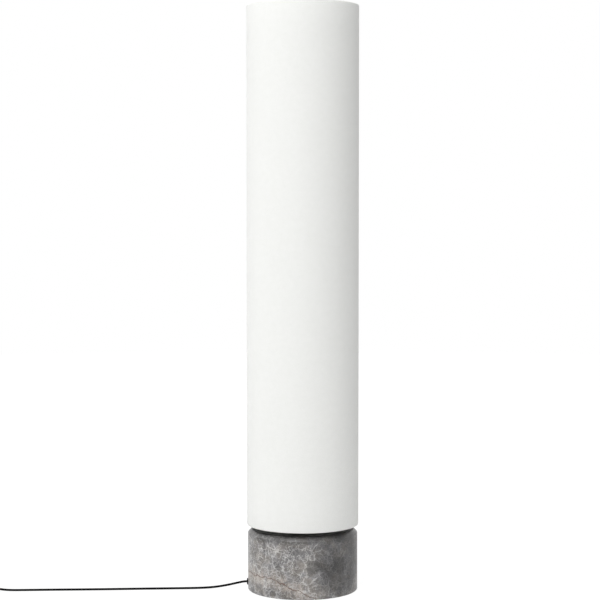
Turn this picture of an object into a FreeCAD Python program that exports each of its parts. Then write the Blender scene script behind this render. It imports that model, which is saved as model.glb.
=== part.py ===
# Column floor lamp: a canvas drum 1.06 m long that hangs on a mast above a round marble block.
#
# Millimetres, +Z up. The origin is the middle of the block's foot ring, on the floor. The cord leaves
# the block towards -X, runs along the floor to a foot switch, and ends in a coil and a flat plug.
import FreeCAD
import Part
import math
import os
import re
import Sketcher

Vector = FreeCAD.Vector

# ---------------------------------------------------------------------------------------------
# Sizes
# ---------------------------------------------------------------------------------------------

SIZES = {
    # Clearances: radial, between pieces of one body, threads, and between pieces that move apart
    "fit_play": 0.1,
    "thread_play": 0.05,
    "moving_play": 0.3,
    "stud_play": 0.1,
    "seat_play": 0.1,
    # Marble block
    "stone_diameter": 226,
    "stone_height": 126,
    "stone_chamfer": 8,
    "stone_edge_round": 1.5,
    "stone_foot_chamfer": 1.5,
    "stone_bore_play": 0.5,
    "recess_depth": 50,
    "foot_proud": 1,
    "foot_groove": 1,
    "foot_width": 10,
    "foot_inset": 5,
    # Bottom cover, its screws and their inserts
    "cover_diameter": 129,
    "cover_sheet": 2.5,
    "cover_recess": 0.5,
    "cover_play": 0.5,
    "cover_ledge": 9.5,
    "screw_inset": 4.5,
    "screw_diameter": 4,
    "screw_length": 12,
    "screw_head_diameter": 7.6,
    "screw_head_height": 2.2,
    "insert_diameter": 6,
    "insert_length": 10,
    # Mast and what clamps it to the block
    "mast_diameter": 16,
    "mast_bore": 9,
    "thread_depth": 25,
    "nipple_diameter": 10,
    "nipple_bore": 7,
    "nipple_engagement": 20,
    "nipple_tail": 3,
    "washer_diameter": 32,
    "washer_sheet": 2,
    "nut_flats": 14,
    "nut_height": 5,
    "collar_diameter": 44,
    "collar_rim": 4,
    "collar_slope": 2,
    "collar_seat": 3,
    "lock_diameter": 26,
    "lock_height": 9,
    "grub_diameter": 4,
    # Turned tip of the mast, and the finial on it
    "tip_plug": 20,
    "tip_shoulder": 3,
    "stud_diameter": 6,
    "stud_length": 12,
    "finial_diameter": 18,
    "finial_foot_diameter": 16,
    "finial_foot": 1,
    "finial_side": 12,
    "finial_height": 15.5,
    "finial_bore": 13,
    # Spider that keeps the shade's lower ring in the middle
    "rest_hub_diameter": 30,
    "rest_sheet": 2,
    "rest_arm_width": 12,
    "tip_wall": 2.5,
    "tip_grip": 8,
    "rest_play": 0.4,
    # Shade
    "shade_gap": 9,
    "shade_diameter": 230,
    "shade_length": 1064,
    "canvas_wall": 0.6,
    "liner_wall": 0.8,
    "ring_wire": 4,
    "hem_width": 4.2,
    "hub_diameter": 30,
    "hub_sheet": 2.5,
    "spider_drop": 18,
    "arm_sheet": 2,
    "arm_width": 8,
    "arm_hem_gap": 2,
    # The two lampholders and the arms that carry them
    "lower_station": 290,
    "upper_station": 822,
    "holder_offset": 46,
    "holder_arm_sheet": 4,
    "holder_arm_width": 14,
    "holder_arm_hub": 14,
    "holder_eye_diameter": 22,
    "holder_nut_height": 4,
    "holder_diameter": 38,
    "holder_wall": 2,
    "cap_neck_diameter": 18,
    "cap_neck_height": 8,
    "cap_flare": 10,
    "cap_height": 24,
    "ledge_depth": 2,
    "ledge_width": 2,
    "shell_height": 30,
    "shell_lip": 3,
    "shell_bevel": 1.5,
    "insert_floor": 6,
    "sleeve_wall": 0.6,
    "contact_diameter": 8,
    "contact_height": 2.5,
    "lead_diameter": 3,
    "lead_drop": 22,
    "lead_bend": 14,
    # Opal bulb, measured from its centre contact
    "bulb_contact_height": 1.5,
    "bulb_contact_diameter": 9,
    "lamp_cap_diameter": 25.8,
    "lamp_cap_height": 24,
    "lamp_cap_taper": 4,
    "lamp_cap_taper_width": 5.5,
    "lamp_cap_wall": 0.6,
    "bulb_collar_step": 0.8,
    "bulb_collar_rim": 4,
    "bulb_collar_curve": 60,
    "globe_diameter": 60,
    "globe_wall": 1,
    "globe_centre": 76,
    "globe_drop": 13,
    # Cord, its grommet and what holds it inside the block
    "cord_diameter": 4.6,
    "exit_level": 15.2,
    "floor_play": 0.05,
    "grommet_diameter": 13.5,
    "grommet_head": 2.7,
    "grommet_bevel": 1,
    "grommet_barrel_diameter": 9,
    "spot_depth": 0.3,
    "stop_length": 10,
    "stop_width": 16,
    "stop_height": 12,
    "stop_screw_diameter": 3,
    "cord_tail": 2,
    "terminal_far": 36,
    "terminal_length": 18,
    "terminal_width": 14,
    "terminal_height": 14,
    "terminal_well": 3.6,
    "terminal_well_depth": 5,
    "wire_diameter": 2,
    "wire_spread": 1.5,
    "wire_bend": 6,
    # Foot switch
    "switch_reach": 650,
    "switch_side": -27,
    "switch_length": 80,
    "switch_width": 34,
    "switch_corner": 14,
    "switch_lower": 11,
    "switch_upper": 12,
    "switch_round": 4,
    "switch_inlet": 6,
    "inlet_length": 8,
    "inlet_root_diameter": 11,
    "inlet_end_diameter": 7,
    "button_diameter": 22,
    "button_flange_diameter": 25,
    "button_flange": 2,
    "button_proud": 3,
    "button_travel": 3,
    "button_round": 1.5,
    "switch_screw_reach": 30,
    "switch_screw_diameter": 2.6,
    "switch_screw_head": 5,
    "switch_screw_head_height": 2,
    "switch_screw_length": 15,
    "switch_screw_recess": 0.5,
    # Coil of the spare cord, off the picture
    "coil_middle": 795,
    "coil_first_radius": 31,
    "coil_pitch": 5.1,
    # Plug
    "plug_mouth": 730,
    "plug_relief": 24,
    "relief_root_diameter": 11,
    "relief_end_diameter": 6.4,
    "plug_length": 36,
    "plug_width": 35.3,
    "plug_rear_width": 14,
    "plug_face_width": 31,
    "plug_shoulder": 22,
    "plug_straight": 8,
    "plug_thickness": 13.7,
    "plug_round": 3,
    "pin_diameter": 4,
    "pin_length": 19,
    "pin_root": 6,
    "pin_spacing": 18.6,
}

# Places and sizes that follow from the sizes above.
PLACES = {
    "stone_radius": "stone_diameter / 2",
    "stone_bore": "nipple_diameter / 2 + stone_bore_play",
    "recess_radius": "cover_diameter / 2 - cover_ledge",
    "rebate_radius": "cover_diameter / 2 + cover_play",
    "rebate_depth": "cover_sheet + cover_recess",
    "foot_outside": "stone_radius - foot_inset",
    "foot_inside": "foot_outside - foot_width",
    "stone_top": "foot_proud + stone_height",
    "recess_ceiling": "foot_proud + recess_depth",
    "screw_across": "(cover_diameter / 2 - screw_inset) * cos(45)",
    # Mast
    "mast_radius": "mast_diameter / 2",
    "nipple_radius": "nipple_diameter / 2",
    "nipple_bottom": "recess_ceiling - washer_sheet - nut_height - nipple_tail",
    "nipple_length": "mast_bottom + nipple_engagement - nipple_bottom",
    "mast_bottom": "stone_top + collar_seat",
    "mast_top": "hub_level - seat_play - tip_shoulder",
    "mast_length": "mast_top - mast_bottom",
    "collar_height": "lower_ring_level - rest_sheet / 2 - stone_top",
    "rest_level": "stone_top + collar_height",
    "stud_radius": "stud_diameter / 2",
    # Shade
    "shade_radius": "shade_diameter / 2",
    "shade_bottom": "stone_top + shade_gap",
    "shade_top": "shade_bottom + shade_length",
    "liner_radius": "shade_radius - canvas_wall",
    "ring_outside": "liner_radius - liner_wall",
    "ring_centre": "ring_outside - ring_wire / 2",
    "ring_inside": "ring_outside - ring_wire",
    "hem_inside": "ring_inside - canvas_wall",
    "lower_ring_level": "shade_bottom + canvas_wall + ring_wire / 2",
    "upper_ring_level": "shade_top - canvas_wall - ring_wire / 2",
    "arm_level": "upper_ring_level - ring_wire / 2",
    "hub_level": "arm_level - spider_drop",
    "slope_end": "hem_inside - arm_hem_gap",
    "slope_start": "slope_end - (spider_drop - arm_sheet)",
    "tip_width": "rest_arm_width + 2 * tip_wall",
    "tip_height": "rest_sheet + 2 * tip_wall",
    "tip_reach": "sqrt((hem_inside - rest_play)^2 - (tip_width / 2)^2)",
    "rest_arm_reach": "tip_reach - tip_wall",
    # Lampholders and bulbs
    "holder_radius": "holder_diameter / 2",
    "holder_bore": "holder_radius - holder_wall",
    "lamp_cap_radius": "lamp_cap_diameter / 2",
    "sleeve_bore": "lamp_cap_radius + moving_play",
    "sleeve_outside": "sleeve_bore + sleeve_wall",
    "insert_height": "shell_height - shell_lip + ledge_depth - fit_play",
    "cap_seat": "cap_height - ledge_depth",
    "bulb_rise": "holder_arm_sheet + cap_seat + insert_floor + contact_height + moving_play",
    "lead_radius": "lead_diameter / 2",
    "globe_radius": "globe_diameter / 2",
    "globe_joint": "sqrt(globe_radius^2 - globe_drop^2)",
    "globe_inside": "globe_radius - globe_wall",
    "bulb_collar_height": "globe_centre - globe_drop - lamp_cap_height",
    # Cord
    "cord_radius": "cord_diameter / 2",
    "cord_level": "cord_radius + floor_play",
    "grommet_barrel": "spot_face - recess_radius",
    "spot_face": "stone_radius - spot_depth",
    "stop_reach": "sqrt(recess_radius^2 - (stop_width / 2)^2)",
    "cord_inside": "recess_radius - stop_length - cord_tail",
    "terminal_level": "recess_ceiling - terminal_height",
    "switch_far_end": "switch_reach + 2 * inlet_length + switch_length",
    "switch_middle": "switch_reach + inlet_length + switch_length / 2",
}

document = FreeCAD.newDocument("ColumnLamp")
sheet = document.addObject("Spreadsheet::Sheet", "Sizes")
for row, (name, size) in enumerate(SIZES.items(), 1):
    sheet.set(f"A{row}", name)
    sheet.set(f"B{row}", str(size))
    sheet.setAlias(f"B{row}", name)
document.recompute()

nodes = {}


def bound(text):
    """Turn an expression of size and place names into one on the sheet's cells."""

    def cell(match):
        word = match.group(0)
        if word in PLACES:
            return f"({bound(PLACES[word])})"
        return f"Sizes.{word}" if word in SIZES else word

    return re.sub(r"[a-z]+(?:_[a-z]+)*", cell, text)


def value(text):
    """Read an expression of size and place names as a number."""
    return float(sheet.evalExpression(bound(text)))


# ---------------------------------------------------------------------------------------------
# How pieces are made
# ---------------------------------------------------------------------------------------------

# The turn that lays a cylinder, drawn along +Z, along another direction.
ALONG = {
    "+Z": FreeCAD.Rotation(),
    "-Z": FreeCAD.Rotation(Vector(1, 0, 0), 180),
    "+X": FreeCAD.Rotation(Vector(0, 1, 0), 90),
    "-X": FreeCAD.Rotation(Vector(0, 1, 0), -90),
    "+Y": FreeCAD.Rotation(Vector(1, 0, 0), -90),
    "-Y": FreeCAD.Rotation(Vector(1, 0, 0), 90),
}


def place(item, x="0", y="0", z="0", rotation=None):
    """Set where an object or feature stands, bound to the sheet."""
    item.Placement = FreeCAD.Placement(Vector(), rotation or FreeCAD.Rotation())
    for letter, text in zip("xyz", (x, y, z)):
        item.setExpression(f"Placement.Base.{letter}", bound(text))
    return item


def new_body(label):
    """Start the body of one sub-part."""
    body = document.addObject("PartDesign::Body", label)
    body.Label = label
    body.AllowCompound = True
    nodes[label] = body
    return body


def origin_feature(body, role):
    """Find a plane or an axis of a body's own origin."""
    return next(item for item in body.Origin.OriginFeatures if item.Role == role)


def arc_between(start, end, radius, side):
    """Make the arc under a half circle that turns to one side on its way from start to end."""
    chord = end - start
    left = Vector(-chord.y, chord.x, 0).normalize()
    rise = math.sqrt(radius**2 - (chord.Length / 2) ** 2)
    centre = (start + end) / 2 + left * (rise if side == "left" else -rise)
    first, last = (start, end) if side == "left" else (end, start)
    angles = [math.atan2(point.y - centre.y, point.x - centre.x) for point in (first, last)]
    if angles[1] < angles[0]:
        angles[1] += 2 * math.pi
    return Part.ArcOfCircle(Part.Circle(centre, Vector(0, 0, 1), radius), *angles)


def outline(body, plane, corners):
    """Draw a closed outline whose corners are bound to the sheet.

    A corner is (across, up), or (across, up, radius, side) when an arc leads to it.
    """
    sketch = body.newObject("Sketcher::SketchObject", "Outline")
    sketch.AttachmentSupport = [(origin_feature(body, plane), "")]
    sketch.MapMode = "FlatFace"
    points = [Vector(value(corner[0]), value(corner[1]), 0) for corner in corners]
    joints = []
    for index, corner in enumerate(corners):
        start = points[index - 1]
        end = points[index]
        if len(corner) == 2:
            sketch.addGeometry(Part.LineSegment(start, end), False)
            joints.append((1, 2))
        else:
            sketch.addGeometry(arc_between(start, end, value(corner[2]), corner[3]), False)
            joints.append((1, 2) if corner[3] == "left" else (2, 1))
            radius = Sketcher.Constraint("Radius", index, value(corner[2]))
            number = sketch.addConstraint(radius)
            sketch.setExpression(f"Constraints[{number}]", bound(corner[2]))
    for index, corner in enumerate(corners):
        arrival = joints[index - 1][1]
        following = Sketcher.Constraint(
            "Coincident", (index - 1) % len(corners), arrival, index, joints[index][0]
        )
        sketch.addConstraint(following)
        for kind, axis, text in (("DistanceX", -2, corner[0]), ("DistanceY", -1, corner[1])):
            end = joints[index][1]
            if text == "0":
                sketch.addConstraint(Sketcher.Constraint("PointOnObject", index, end, axis))
                continue
            fixed = Sketcher.Constraint(kind, -1, 1, index, end, value(text))
            number = sketch.addConstraint(fixed)
            sketch.setExpression(f"Constraints[{number}]", bound(text))
    return sketch


def turned(label, corners):
    """Make a body by turning an outline of (radius, height) corners about +Z."""
    body = new_body(label)
    sketch = outline(body, "XZ_Plane", corners)
    feature = body.newObject("PartDesign::Revolution", "Turned")
    feature.Profile = sketch
    feature.ReferenceAxis = (sketch, ["V_Axis"])
    feature.Angle = 360
    body.Tip = feature
    return body


def padded(body, plane, corners, thickness, symmetric=False):
    """Add a plate of a given outline to a body."""
    feature = body.newObject("PartDesign::Pad", "Plate")
    feature.Profile = outline(body, plane, corners)
    feature.SideType = "Symmetric" if symmetric else "One side"
    feature.setExpression("Length", bound(thickness))
    body.Tip = feature
    return feature


def primitive(body, kind, sizes, x="0", y="0", z="0", along="+Z"):
    """Add or subtract a box, cylinder, cone or sphere."""
    feature = body.newObject(f"PartDesign::{kind}", kind)
    for name, text in sizes.items():
        feature.setExpression(name, bound(text))
    place(feature, x, y, z, ALONG[along])
    body.Tip = feature
    return feature


def rod(body, radius, length, x="0", y="0", z="0", along="+Z"):
    """Add a cylinder to a body."""
    sizes = {"Radius": radius, "Height": length}
    return primitive(body, "AdditiveCylinder", sizes, x, y, z, along)


def bore(body, radius, depth, x="0", y="0", z="0", along="+Z"):
    """Cut a round hole into a body."""
    sizes = {"Radius": radius, "Height": depth}
    return primitive(body, "SubtractiveCylinder", sizes, x, y, z, along)


def block(body, kind, length, width, height, x="0", y="0", z="0"):
    """Add or subtract a box."""
    sizes = {"Length": length, "Width": width, "Height": height}
    return primitive(body, kind, sizes, x, y, z)


def around(body, features, count):
    """Repeat features evenly about the body's Z axis."""
    pattern = body.newObject("PartDesign::PolarPattern", "Around")
    pattern.Originals = features
    pattern.Axis = (origin_feature(body, "Z_Axis"), [""])
    pattern.Angle = 360
    pattern.Occurrences = count
    body.Tip = pattern
    return pattern


def rounded(body, radius, wanted):
    """Round the edges of a body's last feature that are wanted."""
    document.recompute()
    base = body.Tip
    names = [f"Edge{number}" for number, edge in enumerate(base.Shape.Edges, 1) if wanted(edge)]
    fillet = body.newObject("PartDesign::Fillet", "Rounding")
    fillet.Base = (base, names)
    fillet.setExpression("Radius", bound(radius))
    body.Tip = fillet
    return fillet


def is_flat_at(edge, level):
    """Tell whether an edge lies wholly at one height."""
    box = edge.BoundBox
    return abs(box.ZMin - level) < 0.01 and abs(box.ZMax - level) < 0.01


def is_rim(edge, radius, level):
    """Tell whether an edge is a whole circle of a given radius at a given height."""
    return is_flat_at(edge, level) and abs(edge.BoundBox.XMax - radius) < 0.01


def tube_corners(bore_radius, outside, length):
    """List the outline of a plain tube."""
    return [(bore_radius, "0"), (outside, "0"), (outside, length), (bore_radius, length)]


def round_bar(name, radius, length):
    """Make a plain cylinder."""
    bar = document.addObject("Part::Cylinder", name)
    bar.setExpression("Radius", bound(radius))
    bar.setExpression("Height", bound(length))
    return bar


def hexagon_nut(name, bore_radius, height):
    """Make a hexagon nut without its thread."""
    prism = document.addObject("Part::Prism", f"{name}_hexagon")
    prism.Polygon = 6
    prism.setExpression("Circumradius", bound("nut_flats / 2 / cos(30)"))
    prism.setExpression("Height", bound(height))
    nut = document.addObject("Part::Cut", name)
    nut.Base = prism
    nut.Tool = round_bar(f"{name}_bore", bore_radius, height)
    return nut


def gathered(label, items):
    """Gather separate like pieces in one sub-part."""
    group = document.addObject("Part::Compound", label)
    group.Label = label
    group.Links = items
    nodes[label] = group
    return group


# ---------------------------------------------------------------------------------------------
# Tubes: wires and cords
# ---------------------------------------------------------------------------------------------


def tangent_path(points, bend=None):
    """Join straight runs by tangent arcs, as large as the runs allow unless a bend is given."""
    edges = []
    radii = []
    reached = points[0]
    for before, corner, after in zip(points, points[1:], points[2:]):
        arriving = (corner - before).normalize()
        leaving = (after - corner).normalize()
        half = arriving.getAngle(leaving) / 2
        shorter = min((corner - before).Length, (after - corner).Length)
        radius = bend or 0.45 * shorter / math.tan(half)
        start = corner - arriving * radius * math.tan(half)
        end = corner + leaving * radius * math.tan(half)
        inward = (leaving - arriving).normalize()
        middle = corner + inward * (radius / math.cos(half) - radius)
        if (start - reached).Length > 1e-6:
            edges.append(Part.LineSegment(reached, start).toShape())
        edges.append(Part.Arc(start, middle, end).toShape())
        radii.append(radius)
        reached = end
    edges.append(Part.LineSegment(reached, points[-1]).toShape())
    return Part.Wire(edges), radii


def swept(path, radius):
    """Sweep a round section along a path and check its volume against section times length."""
    first = path.OrderedEdges[0]
    start = path.OrderedVertexes[0].Point
    heading = first.tangentAt(first.FirstParameter)
    section = Part.Wire([Part.makeCircle(radius, start, heading)])
    solid = path.makePipeShell([section], True, False)
    expected = math.pi * radius**2 * path.Length
    if abs(solid.Volume - expected) > 0.002 * expected:
        raise RuntimeError(f"a tube holds {solid.Volume:.1f} of {expected:.1f} mm3")
    return solid


def tube_node(label, solids):
    """Keep swept solids as one sub-part."""
    item = document.addObject("Part::Feature", label)
    item.Label = label
    item.Shape = solids[0] if len(solids) == 1 else Part.makeCompound(solids)
    nodes[label] = item
    return item


def cord_node(label, points):
    """Make one free stretch of the cord and print its bends."""
    path, radii = tangent_path(points)
    item = tube_node(label, [swept(path, value("cord_radius"))])
    least = min(radii) / value("cord_diameter")
    print(label, "radii", [round(radius) for radius in radii], f"least {least:.1f} diameters,",
          f"length {path.Length:.0f} mm")
    return item


# ---------------------------------------------------------------------------------------------
# Block, foot and bottom cover
# ---------------------------------------------------------------------------------------------


def stone_base():
    """Turned marble block with the recess for the wiring and the hole for the cord."""
    body = turned("stone_base", [
        ("stone_bore", "recess_depth"),
        ("stone_bore", "stone_height"),
        ("stone_radius - stone_chamfer", "stone_height"),
        ("stone_radius", "stone_height - stone_chamfer"),
        ("stone_radius", "stone_foot_chamfer"),
        ("stone_radius - stone_foot_chamfer", "0"),
        ("foot_outside", "0"),
        ("foot_outside", "foot_groove"),
        ("foot_inside", "foot_groove"),
        ("foot_inside", "0"),
        ("rebate_radius", "0"),
        ("rebate_radius", "rebate_depth"),
        ("recess_radius", "rebate_depth"),
        ("recess_radius", "recess_depth"),
    ])
    top = value("stone_height")
    rim = value("stone_radius")
    chamfer = value("stone_chamfer")
    rounded(body, "stone_edge_round", lambda edge: is_rim(edge, rim - chamfer, top)
            or is_rim(edge, rim, top - chamfer))
    level = "exit_level - foot_proud"
    bore(body, "grommet_barrel_diameter / 2 + fit_play", "stone_radius", z=level, along="-X")
    bore(body, "grommet_diameter / 2 + fit_play", "stone_radius",
         x="-spot_face", z=level, along="-X")
    hole = bore(body, "insert_diameter / 2", "insert_length",
                x="screw_across", y="screw_across", z="rebate_depth")
    around(body, [hole], 4)
    place(body, z="foot_proud")


def foot_ring():
    """Non-slip ring in its groove under the block."""
    turned("foot_ring", tube_corners("foot_inside", "foot_outside", "foot_groove + foot_proud"))


def bottom_cover():
    """Steel plate under the recess, with its countersunk screws and their inserts."""
    cover = turned("bottom_cover", [
        ("0", "0"),
        ("cover_diameter / 2", "0"),
        ("cover_diameter / 2", "cover_sheet"),
        ("0", "cover_sheet"),
    ])
    cone = {
        "Radius1": "screw_head_diameter / 2",
        "Radius2": "screw_diameter / 2",
        "Height": "screw_head_height",
    }
    corner = {"x": "screw_across", "y": "screw_across"}
    sink = primitive(cover, "SubtractiveCone", cone, **corner)
    hole = bore(cover, "screw_diameter / 2 + fit_play", "cover_sheet", **corner)
    around(cover, [sink, hole], 4)
    place(cover, z="foot_proud + cover_recess")

    screws = new_body("cover_screws")
    head = primitive(screws, "AdditiveCone", cone, **corner)
    shank = rod(screws, "screw_diameter / 2", "screw_length - screw_head_height",
                z="screw_head_height", **corner)
    around(screws, [head, shank], 4)
    place(screws, z="foot_proud + cover_recess")

    inserts = new_body("cover_inserts")
    outside = rod(inserts, "insert_diameter / 2", "insert_length", **corner)
    thread = bore(inserts, "screw_diameter / 2 + thread_play", "insert_length", **corner)
    around(inserts, [outside, thread], 4)
    place(inserts, z="foot_proud + rebate_depth")


# ---------------------------------------------------------------------------------------------
# Mast
# ---------------------------------------------------------------------------------------------


def mast_clamp():
    """Threaded tube, washer and nut that pull the mast onto the block, and the collar on top."""
    nipple = turned("base_nipple",
                    tube_corners("nipple_bore / 2", "nipple_radius", "nipple_length"))
    place(nipple, z="nipple_bottom")
    washer = turned("mast_washer", tube_corners(
        "nipple_radius + fit_play", "washer_diameter / 2", "washer_sheet"))
    place(washer, z="recess_ceiling - washer_sheet")
    nut = hexagon_nut("mast_nut", "nipple_radius", "nut_height")
    nut.Label = "mast_nut"
    nodes["mast_nut"] = nut
    place(nut, z="recess_ceiling - washer_sheet - nut_height")
    collar = turned("mast_collar", [
        ("nipple_radius + fit_play", "0"),
        ("collar_diameter / 2", "0"),
        ("collar_diameter / 2", "collar_rim"),
        ("lock_diameter / 2", "collar_rim + collar_slope"),
        ("lock_diameter / 2", "collar_height"),
        ("mast_radius + fit_play", "collar_height"),
        ("mast_radius + fit_play", "collar_seat"),
        ("nipple_radius + fit_play", "collar_seat"),
    ])
    place(collar, z="stone_top")


def mast():
    """Steel tube with tapped ends and a side hole for the lead of each lampholder, and its tip."""
    tapped = "nipple_radius + thread_play"
    tube = turned("mast_tube", [
        ("mast_bore / 2", "thread_depth"),
        (tapped, "thread_depth"),
        (tapped, "0"),
        ("mast_radius", "0"),
        ("mast_radius", "mast_length"),
        (tapped, "mast_length"),
        (tapped, "mast_length - thread_depth"),
        ("mast_bore / 2", "mast_length - thread_depth"),
    ])
    for station, side in (("lower_station", "+Y"), ("upper_station", "-Y")):
        bore(tube, "lead_radius", "mast_diameter", z=f"{station} - lead_drop - mast_bottom",
             along=side)
    place(tube, z="mast_bottom")

    shoulder = "tip_plug + tip_shoulder"
    pilot = "tip_plug + tip_shoulder + seat_play + hub_sheet"
    tip = turned("mast_tip", [
        ("0", "0"),
        ("nipple_radius", "0"),
        ("nipple_radius", "tip_plug"),
        ("mast_radius", "tip_plug"),
        ("mast_radius", shoulder),
        ("nipple_radius", shoulder),
        ("nipple_radius", f"{pilot} - seat_play"),
        ("stud_radius", f"{pilot} - seat_play"),
        ("stud_radius", f"{pilot} + stud_length"),
        ("0", f"{pilot} + stud_length"),
    ])
    place(tip, z="mast_top - tip_plug")


def centering_spider():
    """Three flat arms on the collar whose soft tips keep the shade's lower ring in the middle."""
    spider = new_body("centering_spider")
    rod(spider, "rest_hub_diameter / 2", "rest_sheet")
    arm = block(spider, "AdditiveBox", "rest_arm_reach - lock_diameter / 2", "rest_arm_width",
                "rest_sheet", x="lock_diameter / 2", y="-rest_arm_width / 2")
    around(spider, [arm], 3)
    bore(spider, "mast_radius + fit_play", "rest_sheet")
    place(spider, z="rest_level")

    tips = new_body("spider_tips")
    pad = block(tips, "AdditiveBox", "tip_grip + tip_wall", "tip_width", "tip_height",
                x="rest_arm_reach - tip_grip", y="-tip_width / 2")
    slot = block(tips, "SubtractiveBox", "tip_grip", "rest_arm_width", "rest_sheet",
                 x="rest_arm_reach - tip_grip", y="-rest_arm_width / 2", z="tip_wall")
    around(tips, [pad, slot], 3)
    place(tips, z="rest_level - tip_wall")

    lock = turned("spider_lock_ring", tube_corners(
        "mast_radius + fit_play", "lock_diameter / 2", "lock_height"))
    bore(lock, "grub_diameter / 2", "lock_diameter", z="lock_height / 2", along="+X")
    place(lock, z="rest_level + rest_sheet")


def lock_screws():
    """Grub screws that hold the lock ring and the two lampholder arms on the mast."""
    hub_middle = "(holder_arm_sheet + holder_arm_hub) / 2"
    screws = []
    for level, x, side in (
        ("rest_level + rest_sheet + lock_height / 2", "mast_radius", "+X"),
        (f"lower_station + {hub_middle}", "mast_radius", "+X"),
        (f"upper_station + {hub_middle}", "-mast_radius", "-X"),
    ):
        screw = round_bar("grub_screw", "grub_diameter / 2", "lock_diameter / 2 - mast_radius")
        screws.append(place(screw, x=x, z=level, rotation=ALONG[side]))
    gathered("lock_screws", screws)


# ---------------------------------------------------------------------------------------------
# Lampholders and bulbs
# ---------------------------------------------------------------------------------------------


def holder_arm(label, station, turn):
    """Arm on the mast with an eye for one lampholder, turned to its side of the mast."""
    body = new_body(label)
    rod(body, "lock_diameter / 2", "holder_arm_hub")
    block(body, "AdditiveBox", "holder_arm_width", "holder_offset - mast_radius",
          "holder_arm_sheet", x="-holder_arm_width / 2", y="mast_radius")
    rod(body, "holder_eye_diameter / 2", "holder_arm_sheet", y="holder_offset")
    bore(body, "mast_radius + fit_play", "holder_arm_hub")
    bore(body, "nipple_radius + fit_play", "holder_arm_sheet", y="holder_offset")
    bore(body, "grub_diameter / 2", "lock_diameter",
         z="(holder_arm_sheet + holder_arm_hub) / 2", along="+X")
    place(body, z=station, rotation=FreeCAD.Rotation(Vector(0, 0, 1), turn))


def lampholder(side, station, across):
    """E27 lampholder: cap on the arm, shell, porcelain insert and threaded brass sleeve."""
    base = f"{station} + holder_arm_sheet"
    cap = turned(f"{side}_holder_cap", [
        ("nipple_radius + thread_play", "0"),
        ("cap_neck_diameter / 2", "0"),
        ("cap_neck_diameter / 2", "cap_neck_height"),
        ("holder_radius", "cap_neck_height + cap_flare"),
        ("holder_radius", "cap_height"),
        ("holder_bore", "cap_height"),
        ("holder_bore", "cap_seat"),
        ("holder_bore - ledge_width", "cap_seat"),
        ("holder_bore - ledge_width", "cap_neck_height + cap_flare"),
        ("nipple_radius + thread_play", "cap_neck_height"),
    ])
    place(cap, y=across, z=base)
    shell = turned(f"{side}_holder_shell", [
        ("holder_bore", "0"),
        ("holder_radius", "0"),
        ("holder_radius", "shell_height - shell_bevel"),
        ("holder_radius - shell_bevel", "shell_height"),
        ("sleeve_outside + moving_play", "shell_height"),
        ("sleeve_outside + moving_play", "shell_height - shell_lip"),
        ("holder_bore", "shell_height - shell_lip"),
    ])
    place(shell, y=across, z=f"{base} + cap_height")
    insert = turned(f"{side}_holder_insert", [
        ("0", "0"),
        ("holder_bore - fit_play", "0"),
        ("holder_bore - fit_play", "insert_height"),
        ("sleeve_outside", "insert_height"),
        ("sleeve_outside", "insert_floor"),
        ("0", "insert_floor"),
    ])
    place(insert, y=across, z=f"{base} + cap_seat")
    sleeve = turned(f"{side}_holder_sleeve", tube_corners(
        "sleeve_bore", "sleeve_outside", "insert_height - insert_floor"))
    place(sleeve, y=across, z=f"{base} + cap_seat + insert_floor")


def bulb(side, station, across):
    """Opal bulb: centre contact, screw cap, collar and globe."""
    base = f"{station} + bulb_rise"
    contact = turned(f"{side}_bulb_contact", [
        ("0", "0"),
        ("bulb_contact_diameter / 2", "0"),
        ("bulb_contact_diameter / 2", "bulb_contact_height"),
        ("0", "bulb_contact_height"),
    ])
    place(contact, y=across, z=base)
    taper = "bulb_contact_height + lamp_cap_taper"
    cap = turned(f"{side}_bulb_cap", [
        ("0", "bulb_contact_height"),
        ("lamp_cap_radius - lamp_cap_taper_width", "bulb_contact_height"),
        ("lamp_cap_radius", taper),
        ("lamp_cap_radius", "lamp_cap_height"),
        ("lamp_cap_radius - lamp_cap_wall", "lamp_cap_height"),
        ("lamp_cap_radius - lamp_cap_wall", taper),
        ("lamp_cap_radius - lamp_cap_taper_width", "bulb_contact_height + lamp_cap_wall"),
        ("0", "bulb_contact_height + lamp_cap_wall"),
    ])
    place(cap, y=across, z=base)
    rim = "lamp_cap_radius + bulb_collar_step"
    collar = turned(f"{side}_bulb_collar", [
        ("0", "0"),
        (rim, "0"),
        (rim, "bulb_collar_rim"),
        ("globe_joint", "bulb_collar_height", "bulb_collar_curve", "right"),
        ("0", "bulb_collar_height"),
    ])
    place(collar, y=across, z=f"{base} + lamp_cap_height")
    globe = turned(f"{side}_bulb_globe", [
        ("globe_joint", "-globe_drop"),
        ("0", "globe_radius", "globe_radius", "left"),
        ("0", "globe_inside"),
        ("sqrt(globe_inside^2 - globe_drop^2)", "-globe_drop", "globe_inside", "right"),
    ])
    place(globe, y=across, z=f"{base} + globe_centre")


def holder_fixings(stations):
    """Threaded tubes and nuts that hold the lampholders on their arms, and their contacts."""
    tubes = []
    nuts = []
    contacts = []
    for station, across in stations:
        tube = document.addObject("Part::Cut", "holder_nipple")
        length = "2 * holder_nut_height + holder_arm_sheet"
        tube.Base = round_bar("holder_nipple_outside", "nipple_radius", length)
        tube.Tool = round_bar("holder_nipple_bore", "nipple_bore / 2", length)
        tubes.append(place(tube, y=across, z=f"{station} - holder_nut_height"))
        nut = hexagon_nut("holder_nut", "nipple_radius", "holder_nut_height")
        nuts.append(place(nut, y=across, z=f"{station} - holder_nut_height"))
        contact = round_bar("holder_contact", "contact_diameter / 2", "contact_height")
        floor = f"{station} + holder_arm_sheet + cap_seat + insert_floor"
        contacts.append(place(contact, y=across, z=floor))
    gathered("holder_nipples", tubes)
    gathered("holder_nuts", nuts)
    gathered("holder_contacts", contacts)


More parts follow.
